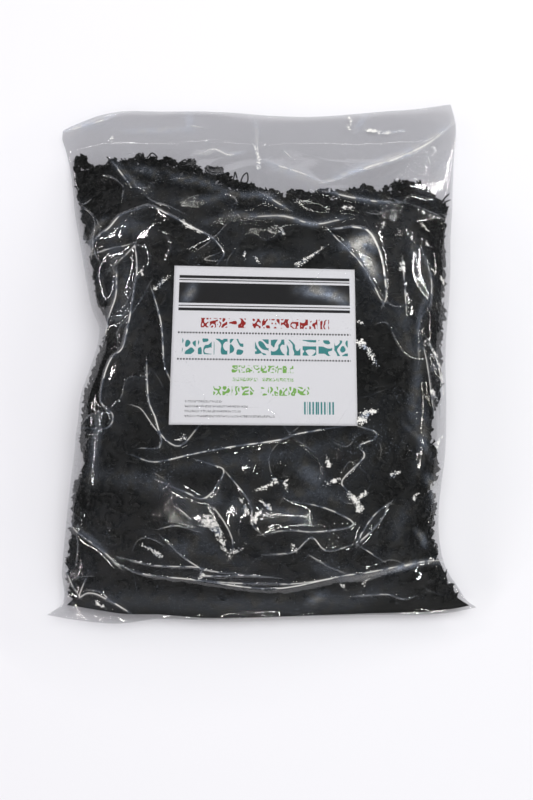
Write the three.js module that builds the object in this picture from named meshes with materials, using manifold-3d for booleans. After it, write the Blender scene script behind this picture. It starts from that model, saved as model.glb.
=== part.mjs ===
// A filled bag of dried cut wakame, lying on its back: a clear film tube sealed at both ends, the packed seaweed
// inside it, and a card that lies between the two. Millimetres, +Z up, +Y towards the top of the bag, origin at
// the middle of the base.

import * as THREE from 'three';
import { mergeVertices } from 'three/addons/utils/BufferGeometryUtils.js';
import Module from 'manifold-3d';

const wasm = await Module();
wasm.setup();

// Film thickness, larger than life so that it is a solid shell, and the clearances between the pieces
const FILM_WALL = 0.8;
const CLEARANCE = 0.5;
const CARD_THICKNESS = 0.5;

// Grid that the points of every finished solid are moved onto
const SNAP = 0.01;

// Straight lines that the two cut ends of the tube follow on the whole
const BOTTOM_LINE = -200.5;
const TOP_LINE = 200;

// How quickly the true end lines fade out along the bag
const BOTTOM_FADE = 6;
const TOP_FADE = 12;

// Outline of the lying bag: x along each side edge against y, and y along each end against x
const LEFT_EDGE = [[-200.5, -160.5], [-193, -151.5], [-167, -149], [-146, -147.3], [-106, -143.4], [-60, -138.2],
  [-38, -136.7], [-18, -130.7], [4, -124.7], [15, -123.9], [28, -129.4], [50, -134.8], [77, -140], [101, -144.8],
  [141, -150.8], [172, -157], [190, -160.5], [200, -160]];
const RIGHT_EDGE = [[-200.5, 160.5], [-195, 154.7], [-182, 146.7], [-165, 136.9], [-148, 133], [-125, 132.1],
  [-106, 134], [-88, 136.6], [-45, 138.6], [1, 139.3], [28, 142.3], [63, 145.1], [92, 146.7], [114, 149.1],
  [158, 152.9], [188, 154.7], [200, 151.5]];
const BOTTOM_EDGE = [[-160.5, -199.5], [-140, -203], [-97, -205], [-88, -203.4], [-44, -203], [34, -200.3],
  [77, -199.5], [148, -196.6], [160.5, -193.9]];
const TOP_EDGE = [[-160.5, 184], [-151, 188.7], [-126, 198.7], [-116, 200.5], [-82, 200.8], [-47, 201.3],
  [-26, 199.8], [1, 196.8], [18, 196.1], [46, 196.4], [73, 198.3], [101, 200.8], [129, 202.5], [151.5, 205]];

// Heights along the bag, against y: the crest of the upper film, the underside, and the two side folds
const CREST = [[-200.5, 11.8], [-196.5, 13.6], [-190, 18.5], [-181, 26], [-165, 40], [-140, 57], [-100, 71.5],
  [-60, 75], [-20, 74], [20, 70], [60, 63], [98, 51], [126, 38], [146, 24], [160, 11], [171, 5], [178, 3.4],
  [200, 3.4]];
const UNDERSIDE = [[-200.5, 10.2], [-196.5, 8.6], [-190, 2], [-182, -4], [-100, -6], [60, -6], [130, -4],
  [152, -1], [168, 0.4], [178, 1], [200, 1]];
const FOLD_HEIGHT = [[-200.5, 11], [-190, 12], [-165, 18], [-60, 28], [20, 26], [98, 20], [140, 11], [165, 4],
  [178, 2.2], [200, 2.2]];
// Exponent of the section: 2 is an ellipse, and more is a squarer loaf
const FULLNESS = [[-200.5, 4], [-190, 2.8], [-165, 2.4], [-60, 2.7], [60, 2.6], [140, 2.4], [178, 4], [200, 4]];

// Rows of the film along the bag and points round each section
const FILM_ROWS = [-200.5, -196.5, -190, -181, -170, -155, -138, -118, -98, -78, -58, -38, -18, 2, 22, 42, 62, 80,
  97, 112, 126, 138, 148, 157, 166, 177, 181, 191, 200];
const FILM_ROUND = 32;

// Ends of the filled space, of the thin seal near the top, and the small unsealed stretch in that seal
const CAVITY_START = -196.5;
const CAVITY_END = 177;
const FILLED_END = 166;
const LIPS_START = 181;
const LIPS_END = 203;
const VENT_ROWS = [166, 177, 181, 191];
const VENT_DEPTH = 0.95;
const VENT_PLACE = -112;
const VENT_WIDTH = 9;

// Slow rise and fall of the free film above the seaweed: where it sets in, its height, the lengths of its two
// waves across and of the second along, and the curl of the right corner with where that starts and is full
const FLAP_SPAN = [120, 185];
const FLAP_WAVE = 1.8;
const FLAP_WAVE_SHARE = 0.6;
const FLAP_WAVE_LONG = 27;
const FLAP_WAVE_SHORT = 13;
const FLAP_WAVE_ALONG = 19;
const FLAP_CURL = 4;
const FLAP_CURL_SPAN = [60, 155];

// Soft billows of the upper film: their height, the lengths of their waves, and where they set in and die out
const BILLOW = 1.3;
const BILLOW_BROAD = [21, 34];
const BILLOW_CROSS = [60, 25];
const BILLOW_FINE = [11, 15];
const BILLOW_START = [-190, -150];
const BILLOW_END = [110, 165];

// The mass of seaweed: where it ends near the top, against x, and how far its core lies under the film
const CONTENT_TOP = [[-150, 158], [-135, 153], [-120, 159], [-100, 160], [-78, 157], [-49, 150], [-28, 144],
  [-6, 136], [13, 128], [38, 129], [72, 133], [99, 134], [113, 139], [133, 129], [146, 119]];
const CONTENT_START = -190;
const CORE_DEPTH = 5.2;
const CORE_SIDE_DEPTH = 7.5;
const CORE_ROWS = 13;
const CORE_ROUND = 20;
const CORE_POWER = 2.5;
const CORE_RELIEF = 2.4;
const CORE_EDGE = 1.6;
const CORE_BLUNT_BOTTOM = 14;
const CORE_BLUNT_TOP = 9;
const CORE_BLUNT_LEAST = 0.02;

// Crinkled flakes fused into the core, larger than life
const FLAKE_LENGTH = [29, 38];
const FLAKE_WIDTH = [17, 23];
const FLAKE_THICKNESS = 1.5;
const FLAKE_STATIONS = 4;
const FLAKE_SEED = 20260;
const FLAKE_ARCH = 2.6;
const FLAKE_ROOT = 3.2;
const FLAKE_CRINKLE = 1.1;

// How the flakes are spread: the grids over the two faces with their shake, and the rows along the three edges
const TOP_GRID = [8, 9];
const BOTTOM_GRID = [6, 7];
const COVER_SHAKE = 0.7;
const COVER_ROWS = [-182, 138];
const COVER_SIDE = 22;
const COVER_BELOW_TOP = 10;
const RAGGED_COUNT = 22;
const RAGGED_SPAN = [-138, 132];
const RAGGED_SINK = [3, 9];
const RAGGED_TURN = 0.9;
const SIDE_COUNT = 8;
const SIDE_ROWS = [-178, 118];
const SIDE_SINK = [9, 13];
const SIDE_TURN = 0.7;
const FACE_LIMIT = 0.985;

// Corners of the card in plan, seen from above, and where its cutting prism starts and how tall it is
const CARD_CORNERS = [[-64.6, 55], [68.6, 52], [68.5, -66.6], [-66.4, -65.6]];
const CARD_PRISM = [40, 60];
const CARD_MARGIN = 0.6;

// Colours, roughness and metalness
const FILM_LOOK = { color: 0xaeb0b4, roughness: 0.12, metalness: 0, transparent: true, opacity: 0.3 };
const WAKAME_LOOK = { color: 0x17191a, roughness: 0.75, metalness: 0 };
const CARD_LOOK = { color: 0xdcdce0, roughness: 0.6, metalness: 0 };

// A smooth curve through [position, value] pairs, held at its end values outside them
function curveThrough(points) {
  const positions = points.map((point) => point[0]);
  const values = points.map((point) => point[1]);
  const curve = new THREE.CubicInterpolant(positions, values, 1, [0]);
  const first = positions[0];
  const last = positions[positions.length - 1];
  return (t) => curve.evaluate(THREE.MathUtils.clamp(t, first, last))[0];
}

const leftEdge = curveThrough(LEFT_EDGE);
const rightEdge = curveThrough(RIGHT_EDGE);
const bottomEdge = curveThrough(BOTTOM_EDGE);
const topEdge = curveThrough(TOP_EDGE);
const crest = curveThrough(CREST);
const underside = curveThrough(UNDERSIDE);
const foldHeight = curveThrough(FOLD_HEIGHT);
const fullness = curveThrough(FULLNESS);
const contentTop = curveThrough(CONTENT_TOP);

// The true y of a point whose row is at the given straight line
function lengthwise(x, row) {
  const along = THREE.MathUtils.clamp((row - BOTTOM_LINE) / (TOP_LINE - BOTTOM_LINE), 0, 1);
  const bottomShift = (bottomEdge(x) - BOTTOM_LINE) * (1 - along) ** BOTTOM_FADE;
  const topShift = (topEdge(x) - TOP_LINE) * along ** TOP_FADE;
  return row + bottomShift + topShift;
}

// Height that the free film above the seaweed gains from its waves and its curled right corner
function flapWave(x, row) {
  const free = THREE.MathUtils.smoothstep(row, ...FLAP_SPAN);
  const long = Math.sin(x / FLAP_WAVE_LONG + 1);
  const short = FLAP_WAVE_SHARE * Math.sin(x / FLAP_WAVE_SHORT - row / FLAP_WAVE_ALONG);
  const curl = FLAP_CURL * THREE.MathUtils.smoothstep(x, ...FLAP_CURL_SPAN);
  return free * (FLAP_WAVE * (1 + FLAP_WAVE_SHARE * (long + short)) + curl);
}

// Soft billows of the upper film, which die out towards the seals
function billow(x, row) {
  const broad = Math.sin(x / BILLOW_BROAD[0] + row / BILLOW_BROAD[1]);
  const cross = Math.cos(row / BILLOW_CROSS[1] - x / BILLOW_CROSS[0]);
  const fine = Math.sin(x / BILLOW_FINE[0] - row / BILLOW_FINE[1]);
  const begun = THREE.MathUtils.smoothstep(row, ...BILLOW_START);
  const ended = THREE.MathUtils.smoothstep(row, ...BILLOW_END);
  return BILLOW * (broad * cross + fine / 2) * begun * (1 - ended);
}

// A point of the film or of a skin that lies inside it. The side runs from -1 at the left fold to 1 at the right,
// rise is 1 on the upper film and -1 on the lower, and depth is how far inside the film's outer face it lies.
function skinPoint(side, rise, row, depth) {
  const left = leftEdge(row) + depth;
  const right = rightEdge(row) - depth;
  const x = (left + right) / 2 + side * (right - left) / 2;
  const power = fullness(row);
  const bulge = Math.max(0, 1 - Math.abs(side) ** power) ** (1 / power);
  const fold = foldHeight(row);
  const upper = Math.min(crest(row - depth), crest(row), crest(row + depth)) - depth;
  const lower = Math.max(underside(row - depth), underside(row), underside(row + depth)) + depth;
  const top = fold + (upper - fold) * bulge + billow(x, row) * bulge;
  const bottom = fold - (fold - lower) * bulge;
  const z = (rise > 0 ? top : bottom) + flapWave(x, row);
  return new THREE.Vector3(x, lengthwise(x, row), Math.max(z, depth));
}

// Position across the section and side of the film for a point round the tube
function roundTheTube(step, steps, power) {
  const angle = (step / steps) * 2 * Math.PI;
  const across = Math.cos(angle);
  const side = Math.sign(across) * Math.abs(across) ** (2 / power);
  return { side, rise: Math.sin(angle) >= 0 ? 1 : -1 };
}

// A closed geometry from rings of points. The upper and lower halves are split into triangles alike, and each end
// is closed by rungs between the points that face each other.
function loft(rings) {
  const count = rings[0].length;
  const index = [];
  for (let r = 0; r + 1 < rings.length; r += 1) {
    for (let i = 0; i < count; i += 1) {
      const here = r * count + i;
      const next = r * count + ((i + 1) % count);
      if (i < count / 2) {
        index.push(here, here + count, next, next, here + count, next + count);
      } else {
        index.push(here, here + count, next + count, here, next + count, next);
      }
    }
  }
  const last = (rings.length - 1) * count;
  for (let i = 0; i < count / 2; i += 1) {
    const facing = (count - i) % count;
    const facingNext = count - i - 1;
    if (i > 0) {
      index.push(i, i + 1, facing);
      index.push(last + i, last + facing, last + i + 1);
    }
    if (i + 1 < facingNext) {
      index.push(i + 1, facingNext, facing);
      index.push(last + i + 1, last + facing, last + facingNext);
    }
  }
  const geometry = new THREE.BufferGeometry().setFromPoints(rings.flat());
  geometry.setIndex(index);
  return geometry;
}

// A solid from a closed geometry
function toSolid(geometry) {
  geometry.deleteAttribute('normal');
  geometry.deleteAttribute('uv');
  const merged = mergeVertices(geometry, 1e-4);
  const vertProperties = new Float32Array(merged.attributes.position.array);
  const triVerts = new Uint32Array(merged.index.array);
  return new wasm.Manifold(new wasm.Mesh({ numProp: 3, vertProperties, triVerts }));
}

// A geometry from a solid
function toGeometry(solid) {
  const result = solid.getMesh();
  const geometry = new THREE.BufferGeometry();
  geometry.setAttribute('position', new THREE.BufferAttribute(result.vertProperties, 3));
  geometry.setIndex(new THREE.BufferAttribute(result.triVerts, 1));
  return geometry;
}

// A geometry with its points moved onto a fine grid, so that none lie almost together
function snapped(geometry) {
  const positions = geometry.attributes.position;
  for (let i = 0; i < positions.array.length; i += 1) {
    positions.array[i] = Math.round(positions.array[i] / SNAP) * SNAP;
  }
  return geometry;
}

// The one large body of a solid, without loose scraps and with its sealed hollows filled
function largestBody(solid) {
  const bodies = toSolid(snapped(toGeometry(solid))).decompose();
  return bodies.reduce((largest, body) => (body.volume() > largest.volume() ? body : largest));
}

// A mesh from a solid
function toMesh(name, solid, look) {
  const geometry = toGeometry(largestBody(largestBody(solid)));
  geometry.computeVertexNormals();
  const mesh = new THREE.Mesh(geometry, new THREE.MeshStandardMaterial(look));
  mesh.name = name;
  return mesh;
}

// The solid inside the film's outer face, between two rows, at a depth
function filmSpace(rows, depth) {
  const rings = rows.map((row) => {
    const ring = [];
    for (let i = 0; i < FILM_ROUND; i += 1) {
      const { side, rise } = roundTheTube(i, FILM_ROUND, fullness(row));
      ring.push(skinPoint(side, rise, row, depth));
    }
    return ring;
  });
  return toSolid(loft(rings));
}

// The short unsealed stretch of the thin seal, through which the bag breathes
function ventSolid() {
  const stretch = new THREE.BoxGeometry(VENT_WIDTH, 2 * LIPS_START, 2 * LIPS_START);
  stretch.translate(VENT_PLACE, LIPS_START, 0);
  return filmSpace(VENT_ROWS, VENT_DEPTH).intersect(toSolid(stretch));
}

const cavityRows = FILM_ROWS.filter((row) => row >= CAVITY_START && row <= CAVITY_END);
const filledRows = cavityRows.filter((row) => row <= FILLED_END);
const lipRows = [...FILM_ROWS.filter((row) => row >= LIPS_START), LIPS_END];

function filmBag() {
  const outside = filmSpace(FILM_ROWS, 0);
  const cavity = filmSpace(cavityRows, FILM_WALL);
  const lips = filmSpace(lipRows, FILM_WALL);
  return outside.subtract(cavity).subtract(lips).subtract(ventSolid());
}

// Repeatable random numbers between 0 and 1
function seededRandom(seed) {
  let state = seed;
  return () => {
    state = (state * 1664525 + 1013904223) % 4294967296;
    return state / 4294967296;
  };
}

const random = seededRandom(FLAKE_SEED);
const between = (low, high) => low + (high - low) * random();

// A point on the core of the seaweed. Along runs from 0 at the bottom of the bag to 1 at the ragged top.
function corePoint(side, rise, along, sink) {
  const guess = skinPoint(side, rise, 0, CORE_SIDE_DEPTH);
  const end = contentTop(guess.x);
  const row = CONTENT_START + (end - CONTENT_START) * along;
  const outer = skinPoint(side, rise, row, CORE_DEPTH + sink);
  const inner = skinPoint(side, rise, row, CORE_SIDE_DEPTH + sink);
  const middle = foldHeight(row) + flapWave(inner.x, row);
  const blunt = Math.min(along * CORE_BLUNT_BOTTOM, (1 - along) * CORE_BLUNT_TOP);
  const edge = Math.min(1, Math.sqrt(blunt + CORE_BLUNT_LEAST));
  const thinnest = CORE_EDGE * Math.sqrt(1 - side * side);
  const lift = rise * Math.max(rise * (outer.z - middle) * edge, thinnest);
  return new THREE.Vector3(inner.x, inner.y, middle + lift);
}

// The core, with a crumpled relief pressed into it
function coreSolid() {
  const rings = [];
  for (let r = 0; r <= CORE_ROWS; r += 1) {
    const ring = [];
    for (let i = 0; i < CORE_ROUND; i += 1) {
      const { side, rise } = roundTheTube(i, CORE_ROUND, CORE_POWER);
      ring.push(corePoint(side, rise, r / CORE_ROWS, CORE_RELIEF * random()));
    }
    rings.push(ring);
  }
  return toSolid(loft(rings));
}

// A crinkled strip from the points of its two edges, given its thickness up and down. Seen along the strip, the
// first edge lies on the right.
function stripSolid(stations) {
  const half = new THREE.Vector3(0, 0, FLAKE_THICKNESS / 2);
  const rings = stations.map(([right, left]) => [
    right.clone().add(half),
    left.clone().add(half),
    left.clone().sub(half),
    right.clone().sub(half),
  ]);
  return toSolid(loft(rings));
}

// A flake laid over a surface: it arches out of the surface and both of its ends are sunk into it
function flakeOn(surface, x, y, heading) {
  const length = between(...FLAKE_LENGTH);
  const width = between(...FLAKE_WIDTH);
  const forward = new THREE.Vector2(Math.cos(heading), Math.sin(heading));
  const sideways = new THREE.Vector2(-forward.y, forward.x);
  const stations = [];
  for (let k = 0; k < FLAKE_STATIONS; k += 1) {
    const along = k / (FLAKE_STATIONS - 1) - 0.5;
    const arch = FLAKE_ARCH - (FLAKE_ARCH + FLAKE_ROOT) * (2 * along) ** 2;
    const narrow = width * (0.5 - 0.5 * Math.abs(along));
    const centre = new THREE.Vector2(x, y).addScaledVector(forward, along * length);
    const crinkle = FLAKE_CRINKLE * (k % 2 === 0 ? 1 : -1) * between(0.5, 1);
    const edges = [-1, 1].map((hand) => {
      const spot = centre.clone().addScaledVector(sideways, hand * narrow);
      return surface(spot.x, spot.y, arch + hand * crinkle);
    });
    stations.push(edges);
  }
  return stripSolid(stations);
}

// Upper and lower faces of the seaweed as seen from above, raised by a height away from the core
function faceOf(rise) {
  return (x, y, height) => {
    const row = THREE.MathUtils.clamp(y, CONTENT_START + CORE_EDGE, contentTop(x) - CORE_EDGE);
    const middle = (leftEdge(row) + rightEdge(row)) / 2;
    const reach = (rightEdge(row) - leftEdge(row)) / 2 - CORE_SIDE_DEPTH;
    const side = THREE.MathUtils.clamp((x - middle) / reach, -FACE_LIMIT, FACE_LIMIT);
    const along = (row - CONTENT_START) / (contentTop(x) - CONTENT_START);
    const base = corePoint(side, rise, along, CORE_RELIEF / 2);
    return new THREE.Vector3(x, y, base.z + rise * height);
  };
}

// The middle of one cell of a row of cells, shaken within the cell, as a share of the row
function shakenShare(i, count, shake) {
  return (i + 0.5 + shake * (random() - 0.5)) / count;
}

// Flakes spread evenly over a face, on a grid with its places and headings shaken
function coverFlakes(rise, [across, along]) {
  const flakes = [];
  for (let i = 0; i < across; i += 1) {
    for (let j = 0; j < along; j += 1) {
      const y = THREE.MathUtils.lerp(...COVER_ROWS, shakenShare(j, along, COVER_SHAKE));
      const share = shakenShare(i, across, COVER_SHAKE);
      const x = THREE.MathUtils.lerp(leftEdge(y) + COVER_SIDE, rightEdge(y) - COVER_SIDE, share);
      if (y < contentTop(x) - COVER_BELOW_TOP) {
        flakes.push(flakeOn(faceOf(rise), x, y, between(0, Math.PI)));
      }
    }
  }
  return flakes;
}

// Flakes that stand out of the ragged top edge, in turn from the upper and the lower face
function raggedFlakes() {
  const flakes = [];
  for (let i = 0; i < RAGGED_COUNT; i += 1) {
    const x = THREE.MathUtils.lerp(...RAGGED_SPAN, shakenShare(i, RAGGED_COUNT, COVER_SHAKE));
    const y = contentTop(x) - between(...RAGGED_SINK);
    const heading = Math.PI / 2 + between(-RAGGED_TURN, RAGGED_TURN);
    flakes.push(flakeOn(faceOf(i % 2 === 0 ? 1 : -1), x, y, heading));
  }
  return flakes;
}

// Flakes that stand out of one side edge, the left for hand -1 and the right for hand 1
function sideFlakes(hand) {
  const flakes = [];
  for (let i = 0; i < SIDE_COUNT; i += 1) {
    const y = THREE.MathUtils.lerp(...SIDE_ROWS, shakenShare(i, SIDE_COUNT, COVER_SHAKE));
    const sink = between(...SIDE_SINK);
    const x = hand < 0 ? leftEdge(y) + sink : rightEdge(y) - sink;
    flakes.push(flakeOn(faceOf(i % 2 === 0 ? 1 : -1), x, y, between(-SIDE_TURN, SIDE_TURN)));
  }
  return flakes;
}

// A solid prism over the card's outline, grown by a margin
function cardPrism(margin) {
  const corners = CARD_CORNERS.map(([x, y]) => new THREE.Vector2(x, y));
  const middle = new THREE.Vector2();
  corners.forEach((corner) => middle.addScaledVector(corner, 1 / corners.length));
  const outline = corners.map((corner) => {
    const outward = corner.clone().sub(middle).normalize();
    return corner.clone().addScaledVector(outward, margin * Math.SQRT2);
  });
  const [start, height] = CARD_PRISM;
  const prism = new THREE.ExtrudeGeometry(new THREE.Shape(outline), { depth: height, bevelEnabled: false });
  prism.translate(0, 0, start);
  return toSolid(prism);
}

// The card lies close under the upper film and takes its curve
function labelCard() {
  const above = filmSpace(filledRows, FILM_WALL + CLEARANCE);
  const below = filmSpace(filledRows, FILM_WALL + CLEARANCE + CARD_THICKNESS);
  return cardPrism(0).intersect(above).subtract(below);
}

// The seaweed: the core and its flakes, kept clear of the film and of the card
function wakame() {
  const flakes = [
    ...coverFlakes(1, TOP_GRID),
    ...coverFlakes(-1, BOTTOM_GRID),
    ...raggedFlakes(),
    ...sideFlakes(-1),
    ...sideFlakes(1),
  ];
  const heap = flakes.reduce((whole, flake) => whole.add(flake), coreSolid());
  const room = filmSpace(filledRows, FILM_WALL + CLEARANCE);
  const underCard = filmSpace(filledRows, FILM_WALL + CARD_THICKNESS + 2 * CLEARANCE);
  const cardRoom = cardPrism(CARD_MARGIN).subtract(underCard);
  return heap.intersect(room).subtract(cardRoom);
}

const group = new THREE.Group();
group.add(toMesh('film_bag', filmBag(), FILM_LOOK));
group.add(toMesh('wakame', wakame(), WAKAME_LOOK));
group.add(toMesh('label_card', labelCard(), CARD_LOOK));

export default group;
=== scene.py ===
# %% [markdown]
# A clear bag filled with dried cut wakame, lying on its back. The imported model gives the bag, the seaweed
# and the card as plain solids. Here each of them gets its real surface: a thin glossy film full of creases,
# thousands of crinkled scraps of seaweed, and a printed card between the two.

# %% Load the frame
import math

import bpy
import numpy as np
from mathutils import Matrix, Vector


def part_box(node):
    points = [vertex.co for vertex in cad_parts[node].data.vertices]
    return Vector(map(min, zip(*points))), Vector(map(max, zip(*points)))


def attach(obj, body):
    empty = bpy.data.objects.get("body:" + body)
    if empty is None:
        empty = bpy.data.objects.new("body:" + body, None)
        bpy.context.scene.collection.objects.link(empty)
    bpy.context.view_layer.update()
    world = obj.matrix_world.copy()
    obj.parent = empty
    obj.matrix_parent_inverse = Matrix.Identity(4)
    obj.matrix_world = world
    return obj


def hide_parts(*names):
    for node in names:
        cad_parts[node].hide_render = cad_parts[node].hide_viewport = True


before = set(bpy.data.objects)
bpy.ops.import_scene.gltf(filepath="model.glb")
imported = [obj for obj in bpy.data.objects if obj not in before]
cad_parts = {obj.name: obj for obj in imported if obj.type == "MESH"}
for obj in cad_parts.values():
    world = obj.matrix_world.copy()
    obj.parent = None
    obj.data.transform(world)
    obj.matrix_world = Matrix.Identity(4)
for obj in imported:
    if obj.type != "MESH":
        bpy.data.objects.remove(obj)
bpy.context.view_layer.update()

film_low, film_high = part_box("film_bag")
print("film solid from", tuple(round(v, 4) for v in film_low), "to", tuple(round(v, 4) for v in film_high))

# %% [markdown]
# The camera comes first, because the creases of the film are placed by where they show in the picture. It
# looks down on the bag, ten degrees off the plumb line, from a little below its bottom seal. A pixel of the
# picture is then a known direction, and every point of the bag has a known pixel.

# %% Camera and its pixels
MM = 0.001
IMAGE_WIDTH = 533
IMAGE_HEIGHT = 800
ELEVATION = math.radians(80)
DISTANCE = 0.950
PIXEL_SIZE = 0.00075
TARGET = np.array([0.0035, -0.0407, 0.035])
SENSOR = 36.0

focal_pixels = DISTANCE / PIXEL_SIZE
towards_camera = np.array([0.0, -math.cos(ELEVATION), math.sin(ELEVATION)])
picture_up = np.array([0.0, math.sin(ELEVATION), math.cos(ELEVATION)])
eye = TARGET + towards_camera * DISTANCE

camera_data = bpy.data.cameras.new("camera")
camera_data.sensor_fit = "VERTICAL"
camera_data.sensor_height = SENSOR
camera_data.lens = focal_pixels * SENSOR / IMAGE_HEIGHT
camera = bpy.data.objects.new("camera", camera_data)
camera.location = eye
camera.rotation_euler = (math.pi / 2 - ELEVATION, 0, 0)
bpy.context.scene.collection.objects.link(camera)
bpy.context.scene.camera = camera


def pixels_of(points):
    """Where points show: their offset across and up over their depth, times the focal length."""
    away = points - eye
    depth = -(away @ towards_camera)
    across = IMAGE_WIDTH / 2 + focal_pixels * away[..., 0] / depth
    down = IMAGE_HEIGHT / 2 - focal_pixels * (away @ picture_up) / depth
    return across, down


def plan_of(across, down, height):
    """The point at a height that shows at a pixel: the pixel's ray carried to that height."""
    right = (np.asarray(across, float) - IMAGE_WIDTH / 2) / focal_pixels
    up = (IMAGE_HEIGHT / 2 - np.asarray(down, float)) / focal_pixels
    ray = right[..., None] * np.array([1.0, 0, 0]) + up[..., None] * picture_up - towards_camera
    reach = (height - eye[2]) / ray[..., 2]
    return eye + ray * reach[..., None]


print("lens", round(camera_data.lens, 1), "mm, eye at", np.round(eye, 3))

# %% [markdown]
# The bag is one tube of film. Its form is a section, close to an ellipse but squarer, carried along the bag
# while its width, its crest, its underside and the height of its two side folds change. Much the same
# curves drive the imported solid, so the fine film lies within a few millimetres of it. Each curve is a list
# of places and sizes in millimetres.

# %% Curves of the bag
BOTTOM_LINE = -200.5
TOP_LINE = 200.0
BOTTOM_FADE = 6
TOP_FADE = 12
LEAST_HEIGHT = 0.15
LEAST_BULGE = 0.3
NORMAL_STEP = 0.004
OUTER_SIDE = 0.992


def curve_through(text):
    """A smooth curve through the places and sizes of a text, a comma between the two of a pair.

    On each stretch it is a cubic that meets its neighbours with the mean slope.
    """
    places, sizes = np.array([pair.split(",") for pair in text.split()], float).T
    slopes = np.gradient(sizes, places)

    def value(at):
        at = np.clip(at, places[0], places[-1])
        k = np.clip(np.searchsorted(places, at, side="right") - 1, 0, len(places) - 2)
        span = places[k + 1] - places[k]
        t = (at - places[k]) / span
        start = sizes[k] * (1 + 2 * t) * (1 - t) ** 2 + slopes[k] * span * t * (1 - t) ** 2
        end = sizes[k + 1] * t ** 2 * (3 - 2 * t) + slopes[k + 1] * span * t ** 2 * (t - 1)
        return start + end

    return value


left_edge = curve_through("""
-200.5,-160.5 -193,-151.5 -167,-149 -146,-147.3 -106,-143.4 -60,-138.2 -38,-136.7 -18,-130.7 4,-124.7
15,-123.9 28,-129.4 50,-134.8 77,-140 101,-144.8 141,-150.8 172,-157 190,-160.5 200,-160
""")
right_edge = curve_through("""
-200.5,160.5 -195,154.7 -182,146.7 -165,136.9 -148,133 -125,132.1 -106,134 -88,136.6 -45,138.6 1,139.3
28,142.3 63,145.1 92,146.7 114,149.1 158,152.9 188,154.7 200,151.5
""")
bottom_edge = curve_through("""
-160.5,-199.5 -140,-203 -97,-205 -88,-203.4 -44,-203 34,-200.3 77,-199.5 148,-196.6 160.5,-193.9
""")
top_edge = curve_through("""
-160.5,184 -151,188.7 -126,198.7 -116,200.5 -82,200.8 -47,201.3 -26,199.8 1,196.8 18,196.1 46,196.4 73,198.3
101,200.8 129,202.5 151.5,205
""")
crest = curve_through("""
-200.5,11.8 -196.5,13.6 -190,18.5 -181,26 -165,40 -140,57 -100,71.5 -60,75 -20,74 20,70 60,63 98,50 126,36
146,22.8 160,12.8 171,6 178,3.6 200,3.4
""")
underside = curve_through("""
-200.5,10.2 -196.5,8.6 -190,2 -182,-4 -100,-6 60,-6 130,-4 152,-1 168,0.4 178,1 200,1
""")
fold_height = curve_through("""
-200.5,11 -190,12 -165,18 -60,28 20,26 98,20 140,11 165,4 178,2.2 200,2.2
""")
fullness = curve_through("""
-200.5,4 -190,2.8 -165,2.4 -60,2.7 60,2.6 140,2.4 178,4 200,4
""")
content_top = curve_through("""
-150,158 -135,153 -120,159 -100,160 -78,157 -49,150 -28,144 -6,136 13,128 38,129 72,133 99,134 113,139
133,129 146,119
""")


def smooth_step(value, low, high):
    """Rises from 0 at low to 1 at high, level at both ends."""
    t = np.clip((value - low) / (high - low), 0, 1)
    return t * t * (3 - 2 * t)


def between(value, off, full, end, gone):
    """Rises from 0 at off to 1 at full, and falls again from 1 at end to 0 at gone."""
    return smooth_step(value, off, full) * (1 - smooth_step(value, end, gone))


FLAP_SPAN = (120, 185)
FLAP_WAVE = 1.8
FLAP_WAVE_SHARE = 0.6
FLAP_CURL = 4.0
CURL_SPAN = (60, 155)
LONG_WAVE = 27
SHORT_WAVE = 13
SHORT_SLANT = 19


def flap_wave(x, row):
    """Height of the free film: a long wave, a short slanted one and a curled right corner."""
    long = np.sin(x / LONG_WAVE + 1)
    short = FLAP_WAVE_SHARE * np.sin(x / SHORT_WAVE - row / SHORT_SLANT)
    curl = FLAP_CURL * smooth_step(x, *CURL_SPAN)
    return smooth_step(row, *FLAP_SPAN) * (FLAP_WAVE * (1 + FLAP_WAVE_SHARE * (long + short)) + curl)


def end_shift(x, row):
    """How far a row lies beyond its straight line: the outline of each end, fading towards the middle."""
    along = np.clip((row - BOTTOM_LINE) / (TOP_LINE - BOTTOM_LINE), 0, 1)
    low = (bottom_edge(x) - BOTTOM_LINE) * (1 - along) ** BOTTOM_FADE
    return low + (top_edge(x) - TOP_LINE) * along ** TOP_FADE


def skin(side, rise, row, depth):
    """A point of the bag at a depth inside its film, in millimetres.

    Side runs from -1 at the left fold to 1 at the right. The section is the curve |side|^p + |bulge|^p = 1,
    scaled up to the crest above the folds and down to the underside below them.
    """
    left = left_edge(row) + depth
    right = right_edge(row) - depth
    x = (left + right) / 2 + side * (right - left) / 2
    power = fullness(row)
    bulge = np.maximum(0, 1 - np.abs(side) ** power) ** (1 / power)
    fold = fold_height(row)
    top = fold + np.maximum(crest(row) - depth - fold, LEAST_BULGE) * bulge
    bottom = fold - np.maximum(fold - underside(row) - depth, LEAST_BULGE) * bulge
    z = np.where(rise > 0, top, bottom) + flap_wave(x, row)
    return np.stack([x, row + end_shift(x, row), np.maximum(z, depth + LEAST_HEIGHT)], axis=-1)


def skin_normal(side, rise, row, depth):
    """The outward direction: the cross product of a small step along the bag and one across it."""
    inner = np.clip(side, -OUTER_SIDE, OUTER_SIDE)
    across = skin(inner + NORMAL_STEP, rise, row, depth) - skin(inner - NORMAL_STEP, rise, row, depth)
    along = skin(inner, rise, row + 1, depth) - skin(inner, rise, row - 1, depth)
    normal = np.cross(across, along) * np.asarray(rise, float)[..., None]
    return normal / np.linalg.norm(normal, axis=-1, keepdims=True)


def height_under_film(x, y, depth):
    """Height of the upper skin over a plan position, from the row and side that lead there."""
    row = y.copy()
    for _ in range(3):
        row = y - end_shift(x, row)
    left, right = left_edge(row) + depth, right_edge(row) - depth
    side = (2 * x - left - right) / (right - left)
    return skin(np.clip(side, -1, 1), 1, row, depth)[..., 2]


print("crest at the middle", round(float(crest(-40.0)), 1), "mm")

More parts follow.
